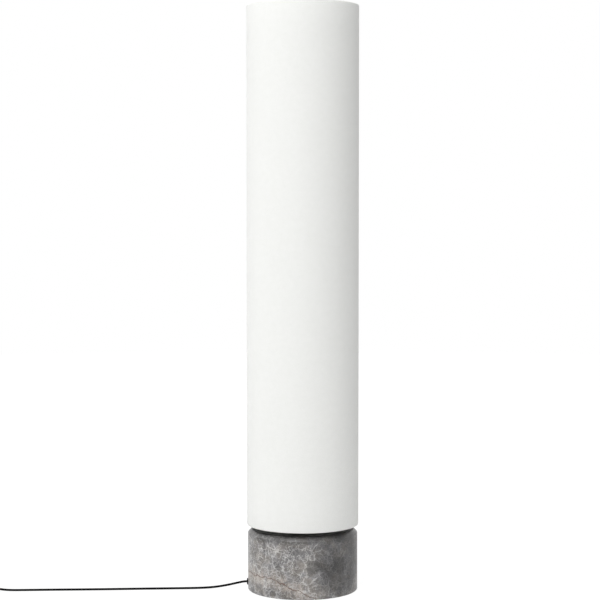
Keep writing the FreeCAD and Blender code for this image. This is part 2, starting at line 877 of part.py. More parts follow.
def holder_leads(stations):
    """Lead of each lampholder, out of the mast's side hole and up through the threaded tube."""
    solids = []
    for station, across in stations:
        level = value(f"{station} - lead_drop")
        offset = value(across)
        inner = math.copysign(value("wire_spread + wire_diameter / 2"), offset)
        points = [
            Vector(0, inner, level),
            Vector(0, offset, level),
            Vector(0, offset, value(f"{station} + holder_arm_sheet + cap_seat")),
        ]
        path, _ = tangent_path(points, value("lead_bend"))
        solids.append(swept(path, value("lead_radius")))
    tube_node("holder_leads", solids)


# ---------------------------------------------------------------------------------------------
# Shade
# ---------------------------------------------------------------------------------------------


def shade():
    """Canvas on a stiff liner, rolled over a wire ring at each rim."""
    canvas = turned("shade_fabric", [
        ("shade_radius", "0"),
        ("shade_radius", "shade_length"),
        ("hem_inside", "shade_length"),
        ("hem_inside", "shade_length - hem_width"),
        ("ring_inside", "shade_length - hem_width"),
        ("ring_inside", "shade_length - canvas_wall"),
        ("liner_radius", "shade_length - canvas_wall"),
        ("liner_radius", "canvas_wall"),
        ("ring_inside", "canvas_wall"),
        ("ring_inside", "hem_width"),
        ("hem_inside", "hem_width"),
        ("hem_inside", "0"),
    ])
    place(canvas, z="shade_bottom")
    liner = turned("shade_liner", tube_corners(
        "ring_outside", "liner_radius", "shade_length - 2 * canvas_wall"))
    place(liner, z="shade_bottom + canvas_wall")
    for label, level in (
        ("shade_bottom_ring", "lower_ring_level"),
        ("shade_top_ring", "upper_ring_level"),
    ):
        ring = document.addObject("Part::Torus", label)
        ring.Label = label
        ring.setExpression("Radius1", bound("ring_centre"))
        ring.setExpression("Radius2", bound("ring_wire / 2"))
        nodes[label] = place(ring, z=level)


def shade_spider():
    """Three cranked arms under the upper ring and the hub that hangs on the mast's tip."""
    body = new_body("shade_spider")
    rod(body, "hub_diameter / 2", "hub_sheet")
    knee = "arm_sheet * (sqrt(2) - 1)"
    arm = padded(body, "XZ_Plane", [
        ("nipple_radius", "0"),
        ("slope_start", "0"),
        ("slope_end", "spider_drop - arm_sheet"),
        ("ring_outside - fit_play", "spider_drop - arm_sheet"),
        ("ring_outside - fit_play", "spider_drop"),
        (f"slope_end - {knee}", "spider_drop"),
        (f"slope_start - {knee}", "arm_sheet"),
        ("nipple_radius", "arm_sheet"),
    ], "arm_width", symmetric=True)
    around(body, [arm], 3)
    bore(body, "nipple_radius + moving_play", "hub_sheet")
    place(body, z="hub_level")


def finial():
    """Domed knob on the stud that keeps the shade on the mast."""
    dome = "finial_height - finial_side"
    knob = turned("finial", [
        ("stud_radius + stud_play", "0"),
        ("finial_foot_diameter / 2", "0"),
        ("finial_diameter / 2", "finial_foot"),
        ("finial_diameter / 2", "finial_side"),
        ("0", "finial_height", f"((finial_diameter / 2)^2 + ({dome})^2) / (2 * ({dome}))", "left"),
        ("0", "finial_bore"),
        ("stud_radius + stud_play", "finial_bore"),
    ])
    place(knob, z="hub_level + hub_sheet + seat_play")


# ---------------------------------------------------------------------------------------------
# Cord inside the block
# ---------------------------------------------------------------------------------------------


def cord_grommet():
    """Rubber bush with a flange that leads the cord through the block's wall."""
    head = "grommet_barrel + grommet_head"
    bush = turned("cord_grommet", [
        ("cord_radius", "0"),
        ("grommet_barrel_diameter / 2 - grommet_bevel", "0"),
        ("grommet_barrel_diameter / 2", "grommet_bevel"),
        ("grommet_barrel_diameter / 2", "grommet_barrel"),
        ("grommet_diameter / 2", "grommet_barrel"),
        ("grommet_diameter / 2", f"{head} - grommet_bevel"),
        ("grommet_diameter / 2 - grommet_bevel", head),
        ("cord_radius", head),
    ])
    place(bush, x="-recess_radius", z="exit_level", rotation=ALONG["-X"])


def wiring():
    """Cord end, cord stop, terminal block and the wires up to the top of the mast."""
    cord = round_bar("inner_cord", "cord_radius", "spot_face - cord_inside")
    cord.Label = "inner_cord"
    nodes["inner_cord"] = place(cord, x="-cord_inside", z="exit_level", rotation=ALONG["-X"])

    stop = new_body("cord_stop")
    block(stop, "AdditiveBox", "stop_length", "stop_width", "stop_height",
          y="-stop_width / 2", z="-stop_height / 2")
    bore(stop, "cord_radius", "stop_length", along="+X")
    bore(stop, "stop_screw_diameter / 2", "stop_height", x="stop_length / 2", along="-Z")
    place(stop, x="-stop_reach", z="exit_level")
    screw = round_bar("stop_screw", "stop_screw_diameter / 2", "stop_height / 2 - cord_radius")
    screw.Label = "stop_screw"
    nodes["stop_screw"] = place(screw, x="stop_length / 2 - stop_reach",
                                z="exit_level - stop_height / 2")

    terminal = new_body("terminal_block")
    block(terminal, "AdditiveBox", "terminal_length", "terminal_width", "terminal_height",
          y="-terminal_width / 2")
    for x in ("terminal_length / 4", "terminal_length * 3 / 4"):
        for y in ("-terminal_width / 4", "terminal_width / 4"):
            bore(terminal, "terminal_well / 2", "terminal_well_depth", x=x, y=y)
    place(terminal, x="-terminal_far", z="terminal_level")

    bend = value("wire_bend")
    entry = value("terminal_level + terminal_height / 2")
    exit_level = value("exit_level")
    cord_end = -value("cord_inside")
    near = value("terminal_length - terminal_far")
    middle = value("terminal_length / 2 - terminal_far")
    nipple = value("nipple_bottom")
    solids = []
    for across in (-value("wire_spread"), value("wire_spread")):
        # From the cord's end and up into the terminal block's underside.
        supply = [
            Vector(cord_end, across, exit_level),
            Vector(middle, across, exit_level),
            Vector(middle, across, value("terminal_level")),
        ]
        # Out of its side, down and round into the threaded tube.
        loop = [
            Vector(near, across, entry),
            Vector(-2 * bend, across, entry),
            Vector(-2 * bend, across, nipple - 3 * bend),
            Vector(0, across, nipple - 3 * bend),
            Vector(0, across, nipple),
        ]
        for points in (supply, loop):
            path, _ = tangent_path(points, bend)
            solids.append(swept(path, value("wire_diameter / 2")))
    tube_node("base_wires", solids)

    wires = []
    for across in ("-wire_spread", "wire_spread"):
        wire = round_bar("mast_wire", "wire_diameter / 2",
                         "upper_station - lead_drop + lead_radius - nipple_bottom")
        wires.append(place(wire, y=across, z="nipple_bottom"))
    gathered("mast_wires", wires)


# ---------------------------------------------------------------------------------------------
# Foot switch and plug
# ---------------------------------------------------------------------------------------------


def rounded_rectangle(length, width, corner):
    """List the outline of a rectangle with round corners about the origin."""
    right = f"{length} / 2"
    top = f"{width} / 2"
    return [
        (f"-{right} + {corner}", f"-{top}", corner, "left"),
        (f"{right} - {corner}", f"-{top}"),
        (right, f"-{top} + {corner}", corner, "left"),
        (right, f"{top} - {corner}"),
        (f"{right} - {corner}", top, corner, "left"),
        (f"-{right} + {corner}", top),
        (f"-{right}", f"{top} - {corner}", corner, "left"),
        (f"-{right}", f"-{top} + {corner}"),
    ]


def foot_switch():
    """Foot switch in the cord: two shells, a button between them and two screws."""
    plan = rounded_rectangle("switch_length", "switch_width", "switch_corner")
    middle = {"x": "-switch_middle", "y": "switch_side"}

    lower = new_body("switch_lower_shell")
    padded(lower, "XY_Plane", plan, "switch_lower")
    inlet = {
        "Radius1": "inlet_root_diameter / 2",
        "Radius2": "inlet_end_diameter / 2",
        "Height": "inlet_length",
    }
    primitive(lower, "AdditiveCone", inlet, x="switch_length / 2", z="switch_inlet", along="+X")
    primitive(lower, "AdditiveCone", inlet, x="-switch_length / 2", z="switch_inlet", along="-X")
    for x in ("-switch_screw_reach", "switch_screw_reach"):
        bore(lower, "switch_screw_diameter / 2", "switch_lower", x=x)
        bore(lower, "switch_screw_head / 2", "switch_screw_recess + switch_screw_head_height", x=x)
    place(lower, **middle)

    upper = new_body("switch_upper_shell")
    padded(upper, "XY_Plane", plan, "switch_upper")
    level = value("switch_upper")
    rounded(upper, "switch_round", lambda edge: is_flat_at(edge, level))
    bore(upper, "button_diameter / 2 + moving_play", "switch_upper")
    bore(upper, "button_flange_diameter / 2 + moving_play",
         "button_travel + button_flange + 2 * seat_play")
    for x in ("-switch_screw_reach", "switch_screw_reach"):
        bore(upper, "switch_screw_diameter / 2",
             "switch_screw_recess + switch_screw_length - switch_lower", x=x)
    place(upper, z="switch_lower", **middle)

    button = turned("switch_button", [
        ("0", "0"),
        ("button_flange_diameter / 2", "0"),
        ("button_flange_diameter / 2", "button_flange"),
        ("button_diameter / 2", "button_flange"),
        ("button_diameter / 2", "switch_upper + button_proud - button_travel - seat_play"),
        ("0", "switch_upper + button_proud - button_travel - seat_play"),
    ])
    top = value("switch_upper + button_proud - button_travel - seat_play")
    rounded(button, "button_round", lambda edge: is_flat_at(edge, top))
    place(button, z="switch_lower + button_travel + seat_play", **middle)

    screws = []
    for x in ("-switch_screw_reach", "switch_screw_reach"):
        head = round_bar("switch_screw_head", "switch_screw_head / 2", "switch_screw_head_height")
        shank = round_bar("switch_screw_shank", "switch_screw_diameter / 2", "switch_screw_length")
        screw = document.addObject("Part::Fuse", "switch_screw")
        screw.Base = head
        screw.Tool = shank
        screws.append(place(screw, x=f"{x} - switch_middle", y="switch_side",
                            z="switch_screw_recess"))
    gathered("switch_screws", screws)


def plug(side):
    """Flat two-pin plug that lies on the floor beside the switch, its pins towards +X."""
    level = "plug_thickness / 2 + floor_play"
    body = new_body("plug_body")
    half = "plug_width / 2"
    padded(body, "XY_Plane", [
        ("0", "-plug_rear_width / 2"),
        ("plug_shoulder", f"-{half}"),
        ("plug_shoulder + plug_straight", f"-{half}"),
        ("plug_length", "-plug_face_width / 2"),
        ("plug_length", "plug_face_width / 2"),
        ("plug_shoulder + plug_straight", half),
        ("plug_shoulder", half),
        ("0", "plug_rear_width / 2"),
    ], "plug_thickness", symmetric=True)
    top = value("plug_thickness / 2")
    rounded(body, "plug_round", lambda edge: is_flat_at(edge, top) or is_flat_at(edge, -top))
    relief = {
        "Radius1": "relief_root_diameter / 2",
        "Radius2": "relief_end_diameter / 2",
        "Height": "plug_relief",
    }
    primitive(body, "AdditiveCone", relief, along="-X")
    for y in ("-pin_spacing / 2", "pin_spacing / 2"):
        bore(body, "pin_diameter / 2", "pin_root", x="plug_length - pin_root", y=y, along="+X")
    place(body, x="-plug_mouth + plug_relief", y=side, z=level)

    pins = new_body("plug_pins")
    reach = "pin_root + pin_length - pin_diameter / 2"
    for y in ("-pin_spacing / 2", "pin_spacing / 2"):
        rod(pins, "pin_diameter / 2", reach, y=y, along="+X")
        primitive(pins, "AdditiveSphere", {"Radius": "pin_diameter / 2"}, x=reach, y=y)
    place(pins, x="-plug_mouth + plug_relief + plug_length - pin_root", y=side, z=level)


# ---------------------------------------------------------------------------------------------
# Cord on the floor
# ---------------------------------------------------------------------------------------------

LAYER_TURNS = 2
LAYERS = 4


def coil_half_turns():
    """List the coil's half turns as (start, end, rise), spiralling in and out in four layers.

    Each half turn is half a pitch smaller or larger than the one before. The half turn in which
    the spiral reverses climbs a layer.
    """
    pitch = value("coil_pitch")
    per_layer = 2 * LAYER_TURNS
    side = value("switch_side")
    height = value("cord_level")
    heading = 1
    turns = []
    for number in range(LAYERS * (per_layer + 1) - 1):
        step = per_layer - abs((number + 1) % (2 * per_layer + 2) - per_layer - 1)
        radius = value("coil_first_radius") - step * pitch / 2
        rise = pitch if number % (per_layer + 1) == per_layer else 0
        start = Vector(-value("coil_middle"), side, height)
        side += heading * 2 * radius
        height += rise
        turns.append((start, Vector(-value("coil_middle"), side, height), heading))
        heading = -heading
    return turns


def half_turn_arcs(start, end, heading):
    """Join two opposite headings by two tangent quarter arcs."""
    along = Vector(-heading, 0, 0)
    reach = (end - start).Length / 2
    middle = (start + end) / 2 + along * reach
    arcs = []
    for first, last in ((start, middle), (middle, end)):
        centre = (start + end) / 2
        between = ((first - centre) + (last - centre)).normalize() * reach
        arcs.append(Part.Arc(first, centre + between, last).toShape())
    return arcs


def least_coil_gap(path):
    """Measure the least gap between the coil's turns on points along its centre line."""
    diameter = value("cord_diameter")
    spacing = 1.5
    points = path.discretize(Distance=spacing)
    apart = math.ceil(3 * diameter / spacing)
    least = math.inf
    for index, point in enumerate(points):
        for other in points[index + apart:]:
            least = min(least, point.distanceToPoint(other))
    return least - diameter


def cord_coil():
    """Neat coil of the spare cord, one unbroken tube; returns the places of its two ends."""
    lead = Vector(value("cord_diameter"), 0, 0)
    turns = coil_half_turns()
    first = turns[0][0]
    last = turns[-1][1]
    edges = [Part.LineSegment(first + lead, first).toShape()]
    for start, end, heading in turns:
        edges += half_turn_arcs(start, end, heading)
    edges.append(Part.LineSegment(last, last + lead).toShape())
    path = Part.Wire(edges)
    tube_node("cord_coil", [swept(path, value("cord_radius"))])
    print(f"cord_coil {len(turns) / 2} turns, length {path.Length:.0f} mm,",
          f"least gap {least_coil_gap(path):.2f} mm")
    return first + lead, last + lead


def power_cord():
    """Free stretch of the cord from the grommet along the floor to the foot switch."""
    floor = value("cord_level")
    cord_node("power_cord", [
        Vector(-value("spot_face"), 0, value("exit_level")),
        Vector(-121, 0, value("exit_level")),
        Vector(-136, -0.2, 12.0),
        Vector(-156, -0.8, 7.6),
        Vector(-180, -2.2, 3.9),
        Vector(-208, -4.8, floor),
        Vector(-258, -8.4, floor),
        Vector(-318, -11.5, floor),
        Vector(-384, -15.9, floor),
        Vector(-446, -19.4, floor),
        Vector(-509, -21.6, floor),
        Vector(-566, -24.6, floor),
        Vector(-608, -26.6, floor),
        Vector(-631, value("switch_side"), value("switch_inlet")),
        Vector(-value("switch_reach"), value("switch_side"), value("switch_inlet")),
    ])


def far_cords(coil_start, coil_end):
    """Free stretches from the switch to the coil and from the coil to the plug."""
    side = value("switch_side")
    inlet = value("switch_inlet")
    floor = value("cord_level")
    cord_node("switch_cord", [
        Vector(-value("switch_far_end"), side, inlet),
        Vector(-757, side, inlet),
        Vector(-779, side, floor),
        coil_start,
    ])
    level = value("plug_thickness / 2 + floor_play")
    cord_node("plug_cord", [
        coil_end,
        Vector(-779, coil_end.y, coil_end.z),
        Vector(-760, coil_end.y, 12.3),
        Vector(-744, coil_end.y, level),
        Vector(-value("plug_mouth"), coil_end.y, level),
    ])


# ---------------------------------------------------------------------------------------------
# The lamp
# ---------------------------------------------------------------------------------------------

stone_base()
foot_ring()
bottom_cover()
mast_clamp()
mast()
centering_spider()
lock_screws()

holder_arm("lower_holder_arm", "lower_station", 0)
holder_arm("upper_holder_arm", "upper_station", 180)
STATIONS = [("lower_station", "holder_offset"), ("upper_station", "-holder_offset")]
for side, (station, across) in zip(("lower", "upper"), STATIONS):
    lampholder(side, station, across)
    bulb(side, station, across)
holder_fixings(STATIONS)
holder_leads(STATIONS)

shade()
shade_spider()
finial()

cord_grommet()
wiring()
foot_switch()
power_cord()
coil_start, coil_end = cord_coil()
far_cords(coil_start, coil_end)
plug(str(coil_end.y))

document.recompute()
for item in document.Objects:
    if {"Invalid", "Error"} & set(item.State):
        raise RuntimeError(f"{item.Label} failed: {item.State}")
for label, item in nodes.items():
    if item.Shape.isNull() or not item.Shape.isValid():
        raise RuntimeError(f"{label} has no valid shape")

os.makedirs("parts", exist_ok=True)
for label, item in nodes.items():
    item.Shape.exportStep(os.path.join("parts", f"{label}.step"))
print(len(nodes), "sub-parts")
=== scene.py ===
import functools
import math

import bmesh
import bpy
from mathutils import Matrix, Vector


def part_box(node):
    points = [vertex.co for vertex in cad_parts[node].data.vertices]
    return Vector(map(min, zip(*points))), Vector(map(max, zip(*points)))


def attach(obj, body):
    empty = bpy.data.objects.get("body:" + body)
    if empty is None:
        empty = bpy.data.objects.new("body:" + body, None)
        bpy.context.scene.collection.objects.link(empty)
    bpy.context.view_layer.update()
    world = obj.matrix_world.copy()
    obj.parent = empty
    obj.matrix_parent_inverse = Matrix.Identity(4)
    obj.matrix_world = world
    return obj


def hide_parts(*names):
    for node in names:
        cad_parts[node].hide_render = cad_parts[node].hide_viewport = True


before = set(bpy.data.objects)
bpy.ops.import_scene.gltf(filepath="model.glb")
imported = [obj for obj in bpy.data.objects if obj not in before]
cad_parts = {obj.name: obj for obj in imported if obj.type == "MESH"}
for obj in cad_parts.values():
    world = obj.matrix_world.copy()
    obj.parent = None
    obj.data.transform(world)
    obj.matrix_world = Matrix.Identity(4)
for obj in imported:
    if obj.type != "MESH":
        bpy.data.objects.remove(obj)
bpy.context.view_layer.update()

bl_info = {
    "name": "Column Lamp",
    "version": (1, 0, 0),
    "blender": (4, 5, 0),
    "location": "3D View > Sidebar > Lamp",
    "description": "Dresses a column floor lamp: canvas drum, marble block, bulbs and cord",
    "category": "Object",
}

# ---- Places and sizes read from the construction, in metres ----


def middle(node):
    """Find the middle of a node's box."""
    low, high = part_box(node)
    return (low + high) / 2


def spans(node):
    """Find how far a node's box reaches along each axis."""
    low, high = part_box(node)
    return high - low


def turned_box(node):
    """Find a turned node's lowest and highest level and its radius."""
    low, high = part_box(node)
    return low.z, high.z, (high.x - low.x) / 2


DRUM_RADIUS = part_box("shade_fabric")[1].x
LINER_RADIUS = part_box("shade_liner")[1].x
RIM_WIRE = spans("shade_top_ring").z / 2
RIM_LEVELS = (middle("shade_bottom_ring").z, middle("shade_top_ring").z)
RIM_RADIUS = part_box("shade_top_ring")[1].x - RIM_WIRE
BLOCK_LOW, BLOCK_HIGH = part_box("stone_base")
BLOCK_RADIUS = BLOCK_HIGH.x
CHAMFER = 0.008
FOOT_WIDTH = 0.010
GROMMET_LEVEL = middle("cord_grommet").z
CORD_RADIUS = spans("inner_cord").z / 2
THREAD_PITCH = 0.003629
AXES = {side: (0, middle(f"{side}_holder_cap").y, 0) for side in ("lower", "upper")}
ON_AXIS = 1e-6

# ---- Settings ----


def colour_setting(name, description, default):
    """Declare a colour."""
    return bpy.props.FloatVectorProperty(
        name=name, description=description, subtype="COLOR", size=3, default=default, min=0,
        max=1,
    )


def length_setting(name, description, default):
    """Declare a length."""
    return bpy.props.FloatProperty(
        name=name, description=description, default=default, unit="LENGTH", precision=5,
    )


class CanvasSettings(bpy.types.PropertyGroup):
    """The canvas of the drum."""

    colour: colour_setting("Colour", "Colour of the canvas", (0.85, 0.855, 0.835))
    thickness: length_setting("Thickness", "Thickness of the canvas", 0.0005)
    thread: length_setting("Thread spacing", "Distance from one thread to the next", 0.0006)
    overlap: length_setting("Seam overlap", "Width of the glued seam at the back", 0.012)
    hem: length_setting("Hem", "How far the canvas is turned in behind each rim wire", 0.0045)


class MarbleSettings(bpy.types.PropertyGroup):
    """The stone of the block."""

    dark: colour_setting("Dark grey", "Darker ground of the marble", (0.130, 0.126, 0.122))
    light: colour_setting("Light grey", "Lighter ground of the marble", (0.226, 0.220, 0.214))
    vein: colour_setting("Pale vein", "Colour of the net of pale veins", (0.62, 0.61, 0.595))
    warm: colour_setting("Warm cloud", "Colour of the warm cloud low in the block",
                         (0.36, 0.315, 0.28))
    rust: colour_setting("Brown vein", "Colour of the thin brown vein", (0.125, 0.08, 0.063))
    edge_round: length_setting("Edge rounding", "Rounding of the block's edges", 0.0015)


class CordSettings(bpy.types.PropertyGroup):
    """The lead with its foot switch, coil and plug."""

    colour: colour_setting("Colour", "Colour of the lead", (0.004, 0.004, 0.0042))


class StageSettings(bpy.types.PropertyGroup):
    """Camera, lamps and surroundings."""

    lens: bpy.props.FloatProperty(
        name="Lens", description="Focal length of the camera", default=102.7, unit="CAMERA",
    )
    camera_place: bpy.props.FloatVectorProperty(
        name="Camera", description="Place of the camera", subtype="TRANSLATION", size=3,
        default=(-0.0055, -3.5143, 0.7819),
    )
    camera_tilt: bpy.props.FloatProperty(
        name="Tilt", description="How far the camera looks down", subtype="ANGLE",
        default=math.radians(2.978),
    )
    key_power: bpy.props.FloatProperty(
        name="Key lamp", description="Power of the large soft lamp at the front left",
        default=492, unit="POWER",
    )
    rim_power: bpy.props.FloatProperty(
        name="Side lamp", description="Power of the soft lamp at the rear left",
        default=9, unit="POWER",
    )
    sky: bpy.props.FloatProperty(
        name="Surroundings", description="Strength of the even light from all around",
        default=0.51, min=0,
    )


# ---- Meshes ----


def rounded_outline(corners, base=0, closed=True, steps=5):
    """Lift corners (across, up, radius) to a base, each with an arc; radius 0 keeps it sharp."""
    spots = [Vector((across, up + base)) for across, up, radius in corners]
    points = []
    for index, corner in enumerate(spots):
        radius = corners[index][2]
        if radius == 0 or (not closed and index in (0, len(spots) - 1)):
            points.append(corner)
            continue
        to_last = (spots[index - 1] - corner).normalized()
        to_next = (spots[(index + 1) % len(spots)] - corner).normalized()
        half = to_last.angle(to_next) / 2
        start = corner + to_last * radius / math.tan(half)
        centre = corner + (to_last + to_next).normalized() * radius / math.sin(half)
        sweep = to_last.angle_signed(to_next)
        turn = math.copysign(math.pi - abs(sweep), sweep)
        arm = start - centre
        for step in range(steps + 1):
            cos, sin = math.cos(turn * step / steps), math.sin(turn * step / steps)
            points.append(centre + Vector((arm.x * cos - arm.y * sin, arm.x * sin + arm.y * cos)))
    return points


def spaced(outline, step, closed=True):
    """Divide the outline's runs into stretches no longer than a step."""
    points = []
    for first, following in zip(outline, outline[1:] + outline[:1] * closed):
        first, following = Vector(first), Vector(following)
        count = max(1, math.ceil((following - first).length / step))
        points += [first.lerp(following, number / count) for number in range(count)]
    return points if closed else points + outline[-1:]


def circle(radius, count):
    """List the points of a circle."""
    turns = [2 * math.pi * number / count for number in range(count)]
    return [(radius * math.cos(turn), radius * math.sin(turn)) for turn in turns]


def wall(bm, lower, upper):
    """Join two closed rings of points; a ring may be a single point."""
    count = max(len(lower), len(upper))
    for number in range(count if count > 1 else 0):
        following = (number + 1) % count
        corners = [lower[number % len(lower)], lower[following % len(lower)],
                   upper[following % len(upper)], upper[number % len(upper)]]
        bm.faces.new(list(dict.fromkeys(corners)))


def turned_mesh(name, outline, centre=(0, 0), segments=96, closed=True):
    """Turn an outline of (radius, height) about a vertical axis into a closed mesh."""
    bm = bmesh.new()
    rings = [
        [bm.verts.new((centre[0] + x, centre[1] + y, height))
         for x, y in circle(radius, segments if radius >= ON_AXIS else 1)]
        for radius, height in outline
    ]
    for lower, upper in zip(rings, rings[1:] + rings[:1] * closed):
        wall(bm, lower, upper)
    bmesh.ops.recalc_face_normals(bm, faces=bm.faces)
    return mesh_from(bm, name)


def mesh_from(bm, name):
    """Store a bmesh as a smooth-shaded mesh."""
    mesh = bpy.data.meshes.new(name)
    bm.to_mesh(mesh)
    bm.free()
    mesh.shade_smooth()
    return mesh


def new_piece(name, data, material):
    """Put a mesh or curve into the scene with its material."""
    piece = bpy.data.objects.new(name, data)
    data.materials.clear()
    data.materials.append(material)
    bpy.context.scene.collection.objects.link(piece)
    return piece


def keep(data, slot, body, *nodes, material=None):
    """Make a piece in a slot's finish that rides on a body, and hide the construction nodes it
    stands for.
    """
    piece = new_piece(data.name, data, material or finish(slot))
    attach(piece, body)
    if nodes:
        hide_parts(*nodes)
    return piece


def turned(name, outline, slot, body, node, centre=(0, 0, 0), waves=None, **how):
    """Turn a piece, and raise waves on it if any are given."""
    piece = keep(turned_mesh(name, outline, centre, **how), slot, body, node)
    if waves:
        formed(piece, "waves", Centre=centre, **waves)


def laid(mesh, origin, direction):
    """Turn a mesh made about +Z to another direction from an origin."""
    turn = Vector(direction).to_track_quat("Z", "Y").to_matrix().to_4x4()
    mesh.transform(Matrix.Translation(Vector(origin)) @ turn)
    return mesh


def screw_mesh(name, head, shank, head_height, length):
    """Make a screw with a cross recess; its head's face is at z 0 and the shank goes up."""
    bm = bmesh.new()
    reach, soft = head * 0.62, head * 0.06

    def ring(spots, height):
        """Make a ring of points."""
        return [bm.verts.new((x, y, height)) for x, y in spots]

    def cross(arm, half):
        """List the outline of a cross."""
        return [(x * cos - y * sin, x * sin + y * cos)
                for cos, sin in ((1, 0), (0, 1), (-1, 0), (0, -1))
                for x, y in ((arm, -half), (arm, half), (half, half))]

    rim = ring(circle(head - soft, 24), 0)
    mouth = ring(cross(reach, head * 0.13), 0)
    floor = ring(cross(reach * 0.55, head * 0.10), head_height * 0.75)
    edges = [bm.edges.new(pair) for points in (rim, mouth)
             for pair in zip(points, points[1:] + points[:1])]
    bmesh.ops.bridge_loops(bm, edges=edges)
    wall(bm, mouth, floor)
    bm.faces.new(floor)
    rings = [rim] + [ring(circle(radius, 24), height) for radius, height in (
        (head, soft), (shank, head_height), (shank, length - shank), (shank * 0.3, length))]
    for lower, upper in zip(rings, rings[1:]):
        wall(bm, lower, upper)
    bm.faces.new(rings[-1])
    bmesh.ops.recalc_face_normals(bm, faces=bm.faces)
    mesh = mesh_from(bm, name)
    mesh.set_sharp_from_angle(angle=math.radians(28))
    return mesh


def lead_curve(name, routes, radius, fine=6, steps=6):
    """Make round leads along smooth curves of control points."""
    curve = bpy.data.curves.new(name, "CURVE")
    curve.dimensions = "3D"
    curve.bevel_depth = radius
    curve.bevel_resolution = fine
    curve.resolution_u = steps
    curve.use_fill_caps = True
    for points in routes:
        spline = curve.splines.new("NURBS")
        spline.points.add(len(points) - 1)
        for point, place in zip(spline.points, points):
            point.co = (*place, 1)
        spline.order_u = 3
        spline.use_endpoint_u = True
    return curve


def dress_nodes(body, table):
    """Replace nodes by copies with soft edges and smooth curves: (node, slot, edge)."""
    sharp = math.radians(30)
    for node, slot, edge in table:
        bm = bmesh.new()
        bm.from_mesh(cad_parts[node].data)
        bmesh.ops.remove_doubles(bm, verts=bm.verts, dist=1e-6)
        bmesh.ops.dissolve_limit(bm, angle_limit=math.radians(0.5), verts=bm.verts,
                                 edges=bm.edges)
        for layer in list(bm.loops.layers.uv):
            bm.loops.layers.uv.remove(layer)
        mesh = mesh_from(bm, f"{node}_dressed")
        mesh.set_sharp_from_angle(angle=sharp)
        bevel = keep(mesh, slot, body, node).modifiers.new("Soft edges", "BEVEL")
        bevel.width = edge
        bevel.segments = 2
        bevel.limit_method = "ANGLE"
        bevel.angle_limit = sharp
        bevel.harden_normals = True


def coat_nodes(table):
    """Give construction nodes that stay as they are their finishes."""
    for node, slot in table.items():
        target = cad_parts[node]
        if not target.material_slots:
            target.data.materials.append(None)
        for place in target.material_slots:
            place.material = finish(slot)


# ---- Node tools ----


class Wire:
    """One output of a node; arithmetic on it adds math nodes to the node's tree."""

    def __init__(self, node, output=0):
        self.node, self.output = node, output

    @property
    def tree(self):
        """The tree that the node is in."""
        return self.node.id_data

    def at(self, output):
        """Take another output of the same node."""
        return Wire(self.node, output)

    def math(self, operation, *others):
        """Add a math node on this and other values."""
        return add(self.tree, "ShaderNodeMath", enumerate((self, *others)), operation=operation)

    def __add__(self, other):
        return self.math("ADD", other)

    def __sub__(self, other):
        return self.math("SUBTRACT", other)

    def __rsub__(self, other):
        return add(self.tree, "ShaderNodeMath", {0: other, 1: self}, operation="SUBTRACT")

    def __mul__(self, other):
        return self.math("MULTIPLY", other)

    def __truediv__(self, other):
        return self.math("DIVIDE", other)

    def ranged(self, low, high, to_low=0.0, to_high=1.0, kind="SMOOTHSTEP"):
        """Map this value from one range to another, clamped."""
        return add(self.tree, "ShaderNodeMapRange", {
            "Value": self, "From Min": low, "From Max": high, "To Min": to_low,
            "To Max": to_high,
        }, interpolation_type=kind)

    def mix(self, first, second):
        """Mix two colours by this value."""
        return mixed(self.tree, self, first, second, "MIX")

    def tinted(self, colour):
        """Multiply this colour by another."""
        return mixed(self.tree, 1.0, self, colour, "MULTIPLY")


def feed(socket, given):
    """Link a wire to a socket, or set the socket's value."""
    if isinstance(given, Wire):
        given.tree.links.new(given.node.outputs[given.output], socket)
    else:
        socket.default_value = given


def add(tree, kind, inputs=(), **settings):
    """Add a node with its settings and inputs, and give its first output."""
    node = tree.nodes.new(kind)
    for name, setting in settings.items():
        setattr(node, name, setting)
    for name, given in dict(inputs).items():
        feed(node.inputs[name], given)
    return Wire(node)


def mixed(tree, factor, first, second, blend):
    """Mix two colours, each a wire or a colour of three."""
    first, second = (given if isinstance(given, Wire) else (*given[:3], 1)
                     for given in (first, second))
    return add(tree, "ShaderNodeMix", {0: factor, 6: first, 7: second}, data_type="RGBA",
               blend_type=blend).at(2)


def vectors(operation, first, second=None):
    """Add a vector math node; lengths and distances come as one value."""
    given = {0: first}
    if second is not None:
        given["Scale" if operation == "SCALE" else 1] = second
    result = add(first.tree, "ShaderNodeVectorMath", given, operation=operation)
    return result.at("Value") if operation in ("LENGTH", "DISTANCE") else result


def parts(vector):
    """Split a vector into its three sides."""
    split = add(vector.tree, "ShaderNodeSeparateXYZ", {0: vector})
    return [split.at(number) for number in range(3)]


def joined(x, y, z=0.0):
    """Join three sides into a vector."""
    return add(x.tree, "ShaderNodeCombineXYZ", {0: x, 1: y, 2: z})


def noise(vector, scale, detail=3.0, rough=0.5, warp=0.0):
    """Add a noise with so many lumps in a metre."""
    return add(vector.tree, "ShaderNodeTexNoise", {
        "Vector": vector, "Scale": scale, "Detail": detail, "Roughness": rough,
        "Distortion": warp,
    })


def new_group(kind, name, inputs, outputs, output_kind="Float"):
    """Start a node group; an input is given by its default, or by its kind as text."""
    group = bpy.data.node_groups.new(name, kind)
    kinds = {int: "Int", float: "Float", tuple: "Vector"}
    for socket, default in inputs.items():
        made = group.interface.new_socket(
            socket, in_out="INPUT", socket_type=f"NodeSocket{kinds.get(type(default), default)}")
        if type(default) in kinds:
            made.default_value = default
    for socket in outputs:
        group.interface.new_socket(socket, in_out="OUTPUT",
                                   socket_type=f"NodeSocket{output_kind}")
    source = group.nodes.new("NodeGroupInput")
    return group, {socket: Wire(source, socket) for socket in inputs}


def grouped(tree, name, inputs):
    """Place one of the shader groups with its own values."""
    return add(tree, "ShaderNodeGroup", inputs, node_tree=GROUPS[name])


